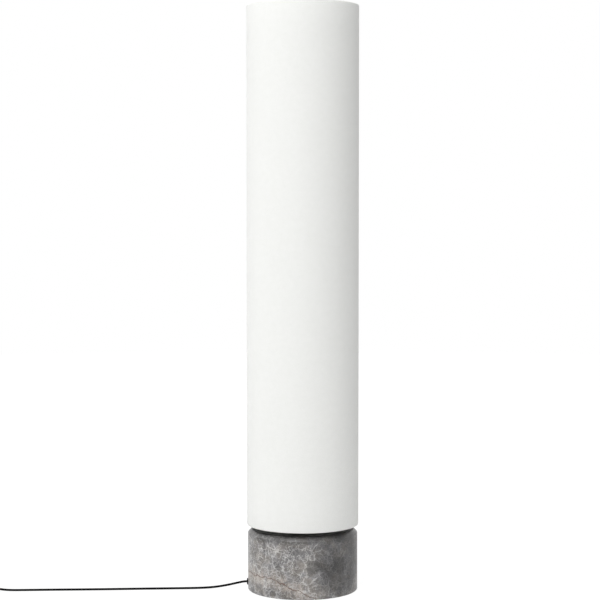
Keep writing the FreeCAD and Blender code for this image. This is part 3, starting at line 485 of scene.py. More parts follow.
def surface_grain():
    """Fine grain and wide, faint patches, as moulded, coated and handled surfaces have."""
    group, given = new_group("ShaderNodeTree", "Surface grain", {
        "Vector": "Vector", "Grain scale": 2000.0, "Patch scale": 30.0,
    }, ["Grain", "Patches"])
    fine = noise(given["Vector"], given["Grain scale"], 2.0, 0.6)
    wide = noise(given["Vector"], given["Patch scale"], 5.0, 0.65)
    add(group, "NodeGroupOutput", {"Grain": fine, "Patches": wide.ranged(0.35, 0.65)})
    return group


def turning_lines():
    """Rings that a lathe or a polishing belt leaves round a vertical axis."""
    group, given = new_group("ShaderNodeTree", "Turning lines", {
        "Vector": "Vector", "Line scale": 3000.0,
    }, ["Lines"])
    x, y, z = parts(given["Vector"])
    along = joined(vectors("LENGTH", joined(x, y)), z)
    add(group, "NodeGroupOutput", {"Lines": noise(along, given["Line scale"], 3.0, 0.7)})
    return group


def vein_net():
    """Net of thin veins that fades in and out."""
    group, given = new_group("ShaderNodeTree", "Vein net", {
        "Vector": "Vector", "Net scale": 50.0, "Width": 0.05, "Warp": 0.01, "Share": 0.5,
    }, ["Veins", "Cells"])
    place, scale, share = given["Vector"], given["Net scale"], given["Share"]
    bend = vectors("SUBTRACT", noise(place, scale * 0.8, 4.0, 0.6).at("Color"), (0.5, 0.5, 0.5))
    warped = vectors("ADD", place, vectors("SCALE", bend, given["Warp"]))
    edge, cells = (add(group, "ShaderNodeTexVoronoi", {"Vector": warped, "Scale": scale},
                       feature=feature) for feature in ("DISTANCE_TO_EDGE", "F1"))
    shade = add(group, "ShaderNodeSeparateColor", {"Color": cells.at("Color")})
    line = edge.at("Distance").ranged(0.0, given["Width"], 1.0, 0.0)
    fading = noise(place, scale * 0.6, 3.0)
    veins = line * fading.ranged(share, share + 0.18)
    add(group, "NodeGroupOutput", {"Veins": veins, "Cells": shade})
    return group


GROUPS = {"grain": surface_grain(), "lines": turning_lines(), "net": vein_net()}

# ---- Repeated forms ----


def end_form(tree, mesh, material):
    """End a form's tree with a real mesh in its material."""
    solid = add(tree, "GeometryNodeRealizeInstances", {"Geometry": mesh})
    dressed = add(tree, "GeometryNodeSetMaterial", {"Geometry": solid, "Material": material})
    add(tree, "NodeGroupOutput", {"Mesh": dressed})
    return tree


def copies_tree():
    """Repeat one item along a step, round an axis, or both, getting smaller on the way."""
    tree, given = new_group("GeometryNodeTree", "Copies", {
        "Mesh": "Geometry", "Count": 4, "Centre": "Vector", "Axis": (0, 0, 1), "Turn": 0.0,
        "Step": "Vector", "Last scale": 1.0, "Material": "Material",
    }, ["Mesh"], "Geometry")
    number = add(tree, "GeometryNodeInputIndex")
    line = add(tree, "GeometryNodeMeshLine", {
        "Count": given["Count"], "Start Location": given["Centre"], "Offset": given["Step"],
    }, mode="OFFSET")
    last = (given["Count"] - 1.0).math("MAXIMUM", 1.0)
    size = number / last * (given["Last scale"] - 1.0) + 1.0
    spin = add(tree, "FunctionNodeAxisAngleToRotation", {
        "Axis": given["Axis"], "Angle": number * given["Turn"],
    })
    item = add(tree, "GeometryNodeTransform", {
        "Geometry": given["Mesh"], "Translation": vectors("SCALE", given["Centre"], -1.0),
    })
    placed = add(tree, "GeometryNodeInstanceOnPoints", {
        "Points": line, "Instance": item, "Rotation": spin, "Scale": size,
    })
    return end_form(tree, placed, given["Material"])


def waves_tree():
    """Raise waves round a vertical axis: one start makes a thread, many upright ones make ribs."""
    tree, given = new_group("GeometryNodeTree", "Waves", {
        "Mesh": "Geometry", "Centre": "Vector", "Pitch": 0.0036, "Starts": 1.0,
        "Depth": 0.0003, "Low": 0.0, "High": 1.0, "Fade": 0.001, "Crossed": 0.0,
        "Material": "Material",
    }, ["Mesh"], "Geometry")
    place = add(tree, "GeometryNodeInputPosition")
    x, y, _ = parts(vectors("SUBTRACT", place, given["Centre"]))
    level = parts(place)[2]
    around = y.math("ARCTAN2", x) * given["Starts"]
    upward = level / given["Pitch"] * (2 * math.pi)
    crossed = (upward + around).math("COSINE") * given["Crossed"]
    wave = (upward - around).math("COSINE") + crossed
    rise = (level - given["Low"]).ranged(0.0, given["Fade"])
    fall = (given["High"] - level).ranged(0.0, given["Fade"])
    height = wave * given["Depth"] * (rise * fall)
    shift = vectors("SCALE", vectors("NORMALIZE", joined(x, y)), height)
    moved = add(tree, "GeometryNodeSetPosition", {"Geometry": given["Mesh"], "Offset": shift})
    return end_form(tree, moved, given["Material"])


FORMS = {"copies": copies_tree(), "waves": waves_tree()}


def formed(piece, form, **inputs):
    """Run a piece's mesh through a geometry node tree and keep the plain result."""
    modifier = piece.modifiers.new(form, "NODES")
    modifier.node_group = FORMS[form]
    sockets = {item.name: item.identifier for item in FORMS[form].interface.items_tree
               if item.in_out == "INPUT"}
    for name, setting in {**inputs, "Material": piece.data.materials[0]}.items():
        modifier[sockets[name.replace("_", " ")]] = setting
    ready = piece.evaluated_get(bpy.context.evaluated_depsgraph_get())
    mesh = bpy.data.meshes.new_from_object(ready)
    mesh.name = piece.name
    piece.modifiers.clear()
    piece.data = mesh


# ---- Materials ----


def new_material(name, colour, roughness, **inputs):
    """Start a material; constants go straight on the shader's sockets."""
    material = bpy.data.materials.new(name)
    material.use_nodes = True
    shader = material.node_tree.nodes["Principled BSDF"]
    shader.inputs["Base Color"].default_value = (*colour, 1)
    shader.inputs["Roughness"].default_value = roughness
    for socket, given in inputs.items():
        shader.inputs[socket.replace("_", " ")].default_value = given
    return material, material.node_tree, shader


def surfaced(shader, colour, gloss, height, depth):
    """Give a shader its colour, its roughness if that varies, and its raised detail."""
    bump = add(shader.id_data, "ShaderNodeBump", {
        "Height": height, "Distance": depth, "Strength": 1.0,
    })
    feed(shader.inputs["Base Color"], colour)
    feed(shader.inputs["Normal"], bump)
    if gloss:
        feed(shader.inputs["Roughness"], gloss)


def object_place(tree):
    """Read places on the object itself."""
    return add(tree, "ShaderNodeTexCoord").at("Object")


def grained(name, colour, roughness, grain, depth, variation=0.12, spread=0.08, **inputs):
    """Make a moulded, coated or rubbery surface with fine grain and faint uneven patches."""
    material, tree, shader = new_material(name, colour, roughness, **inputs)
    look = grouped(tree, "grain", {
        "Vector": object_place(tree), "Grain scale": 1 / grain, "Patch scale": 28.0,
    })
    patches = look.at("Patches")
    tint = patches.mix([side * (1 - variation) for side in colour],
                       [min(1, side * (1 + variation)) for side in colour])
    gloss = patches.ranged(0, 1, roughness - spread, roughness + spread, "LINEAR")
    surfaced(shader, tint, gloss, look.at("Grain"), depth)
    return material


def turned_metal(name, colour, roughness):
    """Make a metal with fine rings round a vertical axis and faint handling marks."""
    material, tree, shader = new_material(name, colour, roughness, Metallic=1.0)
    place = object_place(tree)
    rings = grouped(tree, "lines", {"Vector": place, "Line scale": 2500.0})
    patches = grouped(tree, "grain", {
        "Vector": place, "Grain scale": 900.0, "Patch scale": 45.0,
    }).at("Patches")
    gloss = rings * 0.16 + patches * 0.10 + (roughness - 0.13)
    tint = patches.mix([side * 0.92 for side in colour], colour)
    surfaced(shader, tint, gloss, rings, 0.00002)
    return material


def canvas_material(settings):
    """Plain-woven white canvas, on a map in metres: across round the drum, up its height."""
    material, tree, shader = new_material(
        "White canvas", settings.colour, 0.92, Sheen_Weight=0.15, Sheen_Roughness=0.6,
        Specular_IOR_Level=0.25,
    )
    sheet = add(tree, "ShaderNodeTexCoord").at("UV")
    slub = vectors("SCALE", noise(sheet, 1 / 0.006, 2).at("Color"), settings.thread * 0.9)
    across, up, _ = parts(vectors("ADD", sheet, slub))
    turn = math.pi / settings.thread
    weft, warp = ((side * turn).math("SINE") for side in (across, up))
    over = weft * warp
    weave = (over.ranged(-0.15, 0.15) * warp.math("ABSOLUTE")
             + over.ranged(-0.15, 0.15, 1, 0) * weft.math("ABSOLUTE"))
    lumps = noise(sheet, 1 / 0.012, 4, 0.6)
    hair = noise(sheet, 1 / 0.00025, 2, 0.7)
    # Painted shade: the dips of the weave between the threads are coloured 10% darker than the
    # crowns.
    deep = [side * 0.90 for side in settings.colour]
    thread = weave.ranged(0.0, 0.7).mix(deep, settings.colour)
    cloud = lumps.ranged(0.3, 0.7).mix((0.982, 0.983, 0.98), (1, 1, 1))
    surfaced(shader, thread.tinted(cloud), None, weave + lumps * 0.5 + hair * 0.5, 0.00012)
    return material


# Dark smooth patches of the stone, as (x, y, z, radius) in metres from the lamp's origin.
DARK_PATCHES = (
    (0.021, -0.111, 0.067, 0.020),
    (0.074, -0.085, 0.066, 0.026),
    (-0.062, 0.094, 0.080, 0.030),
    (0.095, 0.060, 0.040, 0.024),
)
# One broad darker cloud, on the right of the front.
BROAD_CLOUD = (0.085, -0.076, 0.068, 0.092)
# The nets of pale veins: size, width, warp, share that fades, strength.
VEIN_NETS = (
    (0.030, 0.034, 0.016, 0.42, 0.62),
    (0.014, 0.055, 0.008, 0.42, 0.62),
    (0.0065, 0.095, 0.004, 0.38, 0.52),
)
# The warm cloud lies about a sheet through the block: z = rise - slope * x, level on the left.
RUST_SLOPE = 0.42
RUST_RISE = 0.0142
RUST_LEVELS_OFF = -0.063


def soft_spot(place, x, y, z, radius):
    """Mask of a round patch with a soft edge."""
    return vectors("DISTANCE", place, (x, y, z)).ranged(radius * 0.5, radius, 1, 0)


def marble_rust(stone):
    """Masks of the warm cloud and of the thin brown vein along its sheet."""
    wander = noise(stone, 1 / 0.02, 4, 0.6).ranged(0.2, 0.8, -0.006, 0.006, "LINEAR")
    x, _, z = parts(stone)
    across = x.math("MAXIMUM", RUST_LEVELS_OFF)
    away = (z + across * RUST_SLOPE - RUST_RISE + wander).math("ABSOLUTE")
    left = x.ranged(-0.01, 0.045, 1, 0)
    swirl = noise(stone, 1 / 0.016, 5, 0.65, 1.2)
    cloud = away.ranged(0.003, 0.026, 1, 0) * left * swirl.ranged(0.36, 0.60, 0.1, 0.9)
    return cloud, away.ranged(0.0005, 0.0015, 1, 0) * 0.9


def marble_material(settings):
    """Honed grey marble: a net of pale veins, dark smooth patches, one warm, rusty cloud, and
    painted shade along the top edge.
    """
    material, tree, shader = new_material("Grey marble", settings.dark, 0.46, IOR=1.5)
    stone = object_place(tree)
    drift = vectors("SUBTRACT", noise(stone, 1 / 0.03, 4, 0.6).at("Color"), (0.5, 0.5, 0.5))
    drifted = vectors("ADD", stone, vectors("SCALE", drift, 0.022))

    clouds = noise(drifted, 1 / 0.045, 6, 0.62)
    ground = clouds.ranged(0.36, 0.64).mix(settings.dark, settings.light)
    grit = noise(stone, 1 / 0.0035, 5, 0.7)
    ground = ground.tinted(grit.ranged(0.25, 0.75).mix((0.74, 0.74, 0.74), (1.26, 1.26, 1.26)))
    hue = noise(stone, 1 / 0.026, 3, 0.55, 0.6)
    ground = ground.tinted(hue.ranged(0.38, 0.60).mix((1.05, 1.0, 0.95), (0.97, 0.975, 1.02)))

    cloud, line = marble_rust(stone)
    ground = cloud.mix(ground, settings.warm)
    patches = functools.reduce(lambda mask, other: mask.math("MAXIMUM", other),
                               [soft_spot(drifted, *patch) for patch in DARK_PATCHES])
    broad = soft_spot(drifted, *BROAD_CLOUD)
    clear = 1.0 - patches.math("MAXIMUM", broad * 0.5) * 0.75
    ground = (patches * 0.75).mix(ground, [side * 0.62 for side in settings.dark])
    for size, width, bend, share, strength in VEIN_NETS:
        net = grouped(tree, "net", {
            "Vector": drifted, "Net scale": 1 / size, "Width": width, "Warp": bend,
            "Share": share,
        })
        tone = net.at("Cells").ranged(0, 1, 0.90, 1.10, "LINEAR")
        ground = ground.tinted(joined(tone, tone, tone))
        ground = (net * clear * strength).mix(ground, settings.vein)
    ground = broad.mix(ground, ground.tinted((0.41, 0.41, 0.415)))
    ground = line.mix(ground, settings.rust)

    edge = BLOCK_HIGH.z - CHAMFER
    # Painted shade: the top of the wall, the chamfer and the top face are darkened to 0.46 in
    # colour where the drum's lower rim shades the stone; the same mask also lowers the roughness
    # there for a polished edge.
    polish_and_painted_shade = parts(stone)[2].ranged(edge - 0.012, edge + 0.001)
    ground = polish_and_painted_shade.mix(ground, ground.tinted((0.46, 0.46, 0.46)))
    honed = grit.ranged(0.2, 0.8, 0.40, 0.54, "LINEAR")
    surfaced(shader, ground, honed - polish_and_painted_shade * 0.14, grit, 0.00005)
    return material


# The finish of each slot: how it is made, its name, colour, roughness and so on. Text is the
# name of another slot that has the same finish.
FINISHES = {
    "satin_steel": (turned_metal, "Satin nickel", (0.60, 0.585, 0.56), 0.34),
    "brass": (turned_metal, "Bare brass", (0.72, 0.53, 0.25), 0.32),
    "zinc_steel": (
        grained, "Zinc plating", (0.60, 0.61, 0.62), 0.38, 0.0008, 0.00002, {"Metallic": 1.0},
    ),
    "white_steel": (
        grained, "White powder coat", (0.80, 0.80, 0.78), 0.45, 0.0009, 0.00004, 0.03,
    ),
    "black_steel": (grained, "Black powder coat", (0.022, 0.022, 0.023), 0.5, 0.0008, 0.00005),
    "liner_white": (grained, "White lamp film", (0.86, 0.86, 0.84), 0.5, 0.0015, 0.00002, 0.02),
    "holder_black": (
        grained, "Black resin", (0.012, 0.012, 0.0125), 0.38, 0.0005, 0.00003,
        {"Specular_IOR_Level": 0.35},
    ),
    "switch_black": (
        grained, "Black switch shell", (0.010, 0.010, 0.0105), 0.36, 0.0006, 0.00005,
        {"Specular_IOR_Level": 0.35},
    ),
    "soft_black": (
        grained, "Black rubber", (0.009, 0.009, 0.009), 0.55, 0.0006, 0.00003,
        {"Specular_IOR_Level": 0.15},
    ),
    "cord_black": "soft_black",
    "soft_clear": (grained, "Milky silicone", (0.72, 0.72, 0.70), 0.42, 0.002, 0.00002, 0.04),
    "terminal_white": (grained, "Milky nylon", (0.75, 0.75, 0.71), 0.4, 0.001, 0.00002, 0.04),
    "wire_sleeves": (grained, "Wire sleeving", (0.22, 0.13, 0.07), 0.4, 0.001, 0.00001),
    "porcelain": (grained, "Bare porcelain", (0.78, 0.77, 0.73), 0.55, 0.0007, 0.00004, 0.04),
    "cap_nickel": (
        grained, "Nickel plating", (0.68, 0.67, 0.64), 0.24, 0.0012, 0.00001, 0.06, 0.06,
        {"Metallic": 1.0},
    ),
    "bulb_white": (
        grained, "White bulb body", (0.82, 0.82, 0.80), 0.35, 0.0008, 0.00002, 0.01, 0.03,
    ),
    "opal_glass": (
        grained, "Opal glass", (0.84, 0.84, 0.81), 0.22, 0.003, 0.00001, 0.02, 0.04,
        {"Coat_Weight": 0.4, "Coat_Roughness": 0.08},
    ),
}


@functools.cache
def finish(slot):
    """Give a slot's finish, made the first time that it is asked for."""
    if isinstance(FINISHES[slot], str):
        return finish(FINISHES[slot])
    make, *given = FINISHES[slot]
    inputs = given.pop() if isinstance(given[-1], dict) else {}
    return make(*given, **inputs)


# ---- Stage ----


def direct_rays(tree):
    """Tell rays from the camera, and those it sends on by gloss or glass, from all others."""
    path = add(tree, "ShaderNodeLightPath")
    sent_on = path.at("Is Glossy Ray").math("MAXIMUM", path.at("Is Transmission Ray"))
    return path.at("Is Camera Ray").math("MAXIMUM", sent_on)


class LAMP_OT_stage(bpy.types.Operator):
    """Make the camera, the soft lamps, the pale floor and the white surroundings"""

    bl_idname = "lamp.stage"
    bl_label = "Stage"

    def execute(self, context):
        settings, scene = context.scene.lamp_stage, context.scene
        lens = bpy.data.cameras.new("Camera")
        lens.lens = settings.lens
        camera = bpy.data.objects.new("Camera", lens)
        camera.location = settings.camera_place
        camera.rotation_euler = (math.pi / 2 - settings.camera_tilt, 0, 0)
        scene.collection.objects.link(camera)
        scene.camera = camera
        scene.view_settings.view_transform = "Standard"

        aim = Vector((0, 0, 0.65))
        lamps = (
            ("Key lamp", settings.key_power, (-2.1, -4.1, 7.2), (3.5, 3.5)),
            ("Side lamp", settings.rim_power, (-2.2, 1.2, 1.2), (1.0, 2.0)),
        )
        for name, power, place, size in lamps:
            lamp = bpy.data.lights.new(name, "AREA")
            lamp.shape = "RECTANGLE"
            lamp.size, lamp.size_y = size
            lamp.energy = power
            holder = bpy.data.objects.new(name, lamp)
            holder.location = place
            holder.rotation_euler = (aim - Vector(place)).to_track_quat("-Z", "Y").to_euler()
            scene.collection.objects.link(holder)

        self.surround(scene, settings.sky)
        bm = bmesh.new()
        bmesh.ops.create_circle(bm, cap_ends=True, segments=64, radius=6.0)
        new_piece("floor", mesh_from(bm, "floor"), self.floor_material())
        return {"FINISHED"}

    @staticmethod
    def surround(scene, strength):
        """Light evenly from all around, and show white behind the lamp."""
        scene.world = scene.world or bpy.data.worlds.new("World")
        scene.world.use_nodes = True
        tree = scene.world.node_tree
        tree.nodes.clear()
        power = direct_rays(tree).ranged(0, 1, strength, 1.0, "LINEAR")
        light = add(tree, "ShaderNodeBackground", {"Color": (1, 1, 1, 1), "Strength": power})
        add(tree, "ShaderNodeOutputWorld", {"Surface": light})

    @staticmethod
    def floor_material():
        """White floor on which the lamp's soft shadow stays faintly visible."""
        material, tree, shader = new_material("Pale floor", (0.86, 0.86, 0.86), 0.8)
        share = direct_rays(tree).ranged(0, 1, 0, 0.85, "LINEAR")
        glow = add(tree, "ShaderNodeEmission", {"Color": (1, 1, 1, 1), "Strength": 1.1})
        blend = add(tree, "ShaderNodeMixShader", {0: share, 1: Wire(shader), 2: glow})
        feed(tree.nodes["Material Output"].inputs["Surface"], blend)
        return material


# ---- Shade ----


class LAMP_OT_canvas(bpy.types.Operator):
    """Wrap the drum in canvas that is rolled over the rim wires and glued along the back"""

    bl_idname = "lamp.canvas"
    bl_label = "Canvas"

    def execute(self, context):
        settings = context.scene.lamp_canvas
        path = self.rim_to_rim(settings)
        columns = 288
        seam = settings.overlap / DRUM_RADIUS
        start = math.pi / 2 - seam / 2
        sweep = 2 * math.pi + seam
        bm = bmesh.new()
        sheet = bm.loops.layers.uv.new("Canvas")
        grid = []
        for column in range(columns + 1):
            angle = start + sweep * column / columns
            lift = settings.thickness * self.lifted(column / columns, seam / sweep)
            grid.append([
                bm.verts.new(((radius + lift) * math.cos(angle),
                              (radius + lift) * math.sin(angle), height))
                for radius, height in path
            ])
        lengths = [0.0]
        for last, following in zip(path, path[1:]):
            lengths.append(lengths[-1] + (Vector(following) - Vector(last)).length)
        for column in range(columns):
            for row in range(len(path) - 1):
                corners = ((column, row), (column + 1, row), (column + 1, row + 1),
                           (column, row + 1))
                face = bm.faces.new([grid[step][level] for step, level in corners])
                for loop, (step, level) in zip(face.loops, corners):
                    loop[sheet].uv = (DRUM_RADIUS * sweep * step / columns, lengths[level])
        canvas = keep(mesh_from(bm, "canvas"), "canvas", "shade", "shade_fabric",
                      material=canvas_material(settings))
        cloth = canvas.modifiers.new("Cloth thickness", "SOLIDIFY")
        cloth.thickness = settings.thickness
        cloth.offset = -1
        return {"FINISHED"}

    @staticmethod
    def lifted(share, overlap):
        """Tell how far, in thicknesses, the outer end of the seam lies over the inner one."""
        edge = 1 - 1.6 * overlap
        return max(0.0, min(1.0, (share - edge) / (0.5 * overlap)))

    @staticmethod
    def rim_to_rim(settings):
        """List (radius, height) from the lower hem's end, round its wire, up and round again."""
        wrap = RIM_WIRE + settings.thickness
        bottom, top = RIM_LEVELS
        steps, rows = 10, 24

        def round_wire(level, heading):
            """List points round a wire from inside to outside."""
            points = []
            for step in range(steps + 1):
                angle = math.pi * step / steps
                side = -math.cos(angle)
                reach = wrap if side < 0 else DRUM_RADIUS - RIM_RADIUS
                drop = heading * wrap * math.sin(angle)
                points.append((RIM_RADIUS + reach * side, level + drop))
            return points

        lower = round_wire(bottom, -1)
        upper = round_wire(top, 1)[::-1]
        side = [(DRUM_RADIUS, bottom + (top - bottom) * row / rows) for row in range(1, rows)]
        hem_low = (lower[0][0], bottom + settings.hem)
        hem_high = (upper[-1][0], top - settings.hem)
        return [hem_low, *lower, *side, *upper, hem_high]


class LAMP_OT_drum_frame(bpy.types.Operator):
    """Make what carries the canvas: liner, rim wires, spider and knurled finial"""

    bl_idname = "lamp.drum_frame"
    bl_label = "Drum frame"

    ridges: bpy.props.IntProperty(
        name="Ridges", description="Number of ridges round the finial", default=56, min=8,
    )

    def execute(self, context):
        low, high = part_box("shade_liner")
        inner, soft = RIM_RADIUS + RIM_WIRE, 0.0002
        turned("drum_liner", rounded_outline([
            (inner, low.z, soft), (LINER_RADIUS, low.z, soft), (LINER_RADIUS, high.z, soft),
            (inner, high.z, soft),
        ], steps=2), "liner_white", "shade", "shade_liner", segments=192)
        coat_nodes({"shade_bottom_ring": "white_steel", "shade_top_ring": "white_steel"})
        dress_nodes("shade", [("shade_spider", "white_steel", 0.0005)])
        self.finial()
        return {"FINISHED"}

    def finial(self):
        """Make the knob with its knurled side."""
        low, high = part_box("finial")
        radius, height = high.x, high.z - low.z
        side, foot = 0.012, 0.001
        bore, deep = 0.0031, 0.013
        dome = height - side
        brow = radius - 0.0012
        crown = (brow ** 2 + dome ** 2) / (2 * dome)
        outline = spaced(rounded_outline([
            (bore, 0, 0), (radius - foot, 0, 0), (radius - 0.0002, foot, 0.0002),
            (radius - 0.0002, side - 0.0005, 0.0002), (brow, side, 0),
        ], low.z, closed=False), 0.001, closed=False)
        for step in range(1, 12):
            across = brow * (1 - step / 11)
            outline.append((across, low.z + height - crown + math.sqrt(crown ** 2 - across ** 2)))
        outline += [(0, low.z + deep), (bore, low.z + deep)]
        turned("finial_knurled", outline, "satin_steel", "finial", "finial",
               segments=self.ridges * 6, waves={
                   "Pitch": 0.0075, "Starts": float(self.ridges), "Depth": 0.00018,
                   "Low": low.z + 0.0015, "High": low.z + side - 0.0015, "Fade": 0.0006,
                   "Crossed": 1.0,
               })


# ---- Block and mast ----


class LAMP_OT_block(bpy.types.Operator):
    """Make the honed marble block with its recess"""

    bl_idname = "lamp.block"
    bl_label = "Marble block"

    chamfer: length_setting("Chamfer", "Width of the chamfer round the top", CHAMFER)
    recess: length_setting("Recess", "Depth of the recess under the block", 0.050)

    def execute(self, context):
        settings = context.scene.lamp_marble
        low, high = BLOCK_LOW.z, BLOCK_HIGH.z
        soft = settings.edge_round
        hole = spans("base_nipple").x / 2 + 0.0005
        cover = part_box("bottom_cover")[1]
        ledge = cover.x - 0.0095
        rebate = cover.x + 0.0005
        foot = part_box("foot_ring")[1]
        outline = rounded_outline([
            (hole, low + self.recess, 0),
            (hole, high, 0.0004),
            (BLOCK_RADIUS - self.chamfer, high, soft),
            (BLOCK_RADIUS, high - self.chamfer, soft),
            (BLOCK_RADIUS, low + 0.0015, 0.0008),
            (BLOCK_RADIUS - 0.0015, low, 0.0008),
            (foot.x, low, 0),
            (foot.x, foot.z, 0),
            (foot.x - FOOT_WIDTH, foot.z, 0),
            (foot.x - FOOT_WIDTH, low, 0.0004),
            (rebate, low, 0.0004),
            (rebate, cover.z, 0),
            (ledge, cover.z, 0.0004),
            (ledge, low + self.recess, 0),
        ])
        keep(turned_mesh("marble_block", outline, segments=256), "marble", "base", "stone_base",
             material=marble_material(settings))
        return {"FINISHED"}


class LAMP_OT_underside(bpy.types.Operator):
    """Make the foot ring, the cover with its screws, and finish what lies in the recess"""

    bl_idname = "lamp.underside"
    bl_label = "Underside"

    def execute(self, context):
        low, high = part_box("foot_ring")
        inner = high.x - FOOT_WIDTH
        deep = 0.0007
        outline = [(inner, high.z, 0), (inner, low.z, 0.0005)]
        for groove in (0.0030, 0.0060):
            outline += [(inner + groove + across, low.z + up, 0.0002) for across, up in (
                (0, 0), (0.0002, deep), (0.0008, deep), (0.0010, 0))]
        outline += [(high.x, low.z, 0.0005), (high.x, high.z, 0)]
        turned("foot_ring_grooved", rounded_outline(outline, steps=3), "soft_black", "base",
               "foot_ring", segments=160)
        dress_nodes("base", [("bottom_cover", "black_steel", 0.0003)])

        low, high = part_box("cover_screws")
        head = 0.0038
        mesh = screw_mesh("cover_screws_crossed", head, 0.0019, 0.0022, high.z - low.z)
        mesh.transform(Matrix.Translation((high.x - head, high.x - head, low.z)))
        formed(keep(mesh, "zinc_steel", "base", "cover_screws"), "copies", Count=4,
               Turn=math.pi / 2)
        coat_nodes({
            "cover_inserts": "brass", "base_nipple": "zinc_steel", "mast_washer": "zinc_steel",
            "mast_nut": "zinc_steel", "inner_cord": "cord_black", "cord_stop": "terminal_white",
            "stop_screw": "zinc_steel", "terminal_block": "terminal_white",
            "base_wires": "wire_sleeves", "mast_wires": "wire_sleeves",
        })
        return {"FINISHED"}


class LAMP_OT_mast(bpy.types.Operator):
    """Dress the mast with its collar, lock ring, threaded tip and the spider in the lower rim"""

    bl_idname = "lamp.mast"
    bl_label = "Mast"

    def execute(self, context):
        dress_nodes("base", [
            ("mast_collar", "satin_steel", 0.0004),
            ("spider_lock_ring", "satin_steel", 0.0004),
            ("centering_spider", "white_steel", 0.0005),
            ("spider_tips", "soft_clear", 0.0008),
        ])
        coat_nodes({"mast_tube": "satin_steel", "lock_screws": "zinc_steel"})
        low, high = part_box("mast_tip")
        body, stud, pitch, length = 0.005, 0.003, 0.001, 0.012
        depth = pitch * 0.15
        outline = rounded_outline([
            (0, low.z, 0), (body, low.z, 0.0004), (body, low.z + 0.020, 0),
            (0.008, low.z + 0.020, 0.0002), (0.008, low.z + 0.023, 0.0004),
            (body, low.z + 0.023, 0), (body, high.z - length, 0.0003),
            (stud - depth, high.z - length, 0.0002), (stud - depth, high.z - 0.0006, 0),
            (stud - 0.0008, high.z, 0), (0, high.z, 0),
        ], closed=False, steps=3)
        start = next(number for number, (across, up) in enumerate(outline)
                     if across < stud and up > high.z - length)
        thread = spaced(outline[start:-2], pitch / 8, closed=False)
        turned("mast_tip_threaded", outline[:start] + thread + outline[-2:], "satin_steel",
               "base", "mast_tip", segments=48, closed=False, waves={
                   "Pitch": pitch, "Starts": 1.0, "Depth": depth,
                   "Low": high.z - length + 0.0005, "High": high.z - 0.0004, "Fade": 0.0005,
               })
        return {"FINISHED"}


# ---- Lampholders and bulbs ----


class LAMP_OT_lampholders(bpy.types.Operator):
    """Dress the two arms and lampholders: cap, ribbed shell, porcelain and threaded sleeve"""

    bl_idname = "lamp.lampholders"
    bl_label = "Lampholders"

    ribs: bpy.props.IntProperty(
        name="Ribs", description="Number of grip ribs round a shell", default=40, min=6,
    )

    def execute(self, context):
        for side in ("lower", "upper"):
            self.holder(side)
        dress_nodes("base", [
            ("holder_nipples", "zinc_steel", 0.0002),
            ("holder_nuts", "zinc_steel", 0.0003),
            ("holder_contacts", "brass", 0.0002),
        ])
        cables = [self.route(side) for side in ("lower", "upper")]
        keep(lead_curve("holder_cables", cables, 0.0015, 4, 12), "cord_black", "base",
             "holder_leads")
        return {"FINISHED"}

    def holder(self, side):
        """Make one lampholder on its arm."""
        dress_nodes("base", [
            (f"{side}_holder_arm", "satin_steel", 0.0005),
            (f"{side}_holder_insert", "porcelain", 0.0004),
        ])
        axis = AXES[side]
        low, _, radius = turned_box(f"{side}_holder_cap")
        inner, bore, neck = radius - 0.002, 0.00505, 0.009
        turned(f"{side}_cap_moulded", rounded_outline([
            (bore, 0, 0), (neck, 0, 0.0006), (neck, 0.008, 0.002), (radius, 0.018, 0.003),
            (radius, 0.024, 0.0003), (inner, 0.024, 0.0002), (inner, 0.022, 0),
            (inner - 0.002, 0.022, 0), (inner - 0.002, 0.018, 0.002), (bore, 0.008, 0),
        ], low), "holder_black", "base", f"{side}_holder_cap", axis)

        low, high, _ = turned_box(f"{side}_holder_shell")
        mouth = spans(f"{side}_holder_sleeve").x / 2 + 0.0003
        tall = high - low
        crest = 0.00025
        outline = rounded_outline([
            (inner, 0, 0.0002), (radius - crest, 0, 0.0005),
            (radius - crest, tall - 0.0015, 0.0004), (radius - 0.0015, tall, 0.0004),
            (mouth, tall, 0.0006), (mouth, tall - 0.003, 0), (inner, tall - 0.003, 0),
        ], low, steps=3)
        turned(f"{side}_shell_ribbed", spaced(outline, 0.002), "holder_black", "base",
               f"{side}_holder_shell", axis, segments=self.ribs * 6, waves={
                   "Pitch": 1000.0, "Starts": float(self.ribs), "Depth": crest,
                   "Low": low + 0.003, "High": high - 0.005, "Fade": 0.002,
               })

        low, high, reach = turned_box(f"{side}_holder_sleeve")
        inside = reach - 0.0005
        outside = inside + 0.0003
        outline = spaced([(inside, low), (outside, low), (outside, high),
                          (inside, high)], THREAD_PITCH / 12)
        turned(f"{side}_sleeve_threaded", outline, "brass", "base", f"{side}_holder_sleeve",
               axis, segments=64, waves={
                   "Pitch": THREAD_PITCH, "Starts": 1.0, "Depth": 0.0003, "Low": low,
                   "High": high, "Fade": 0.001,
               })

    @staticmethod
    def route(side):
        """Lead a lampholder's cable out of the mast and up into its threaded tube."""
        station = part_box(f"{side}_holder_arm")[0].z
        across = AXES[side][1]
        sign = math.copysign(1, across)
        level = station - 0.022
        return [(0, 0.0025 * sign, level), (0, 0.018 * sign, level),
                (0, across - 0.014 * sign, level), (0, across, level + 0.0005),
                (0, across, level + 0.014), (0, across, station + 0.012),
                (0, across, station + 0.026)]


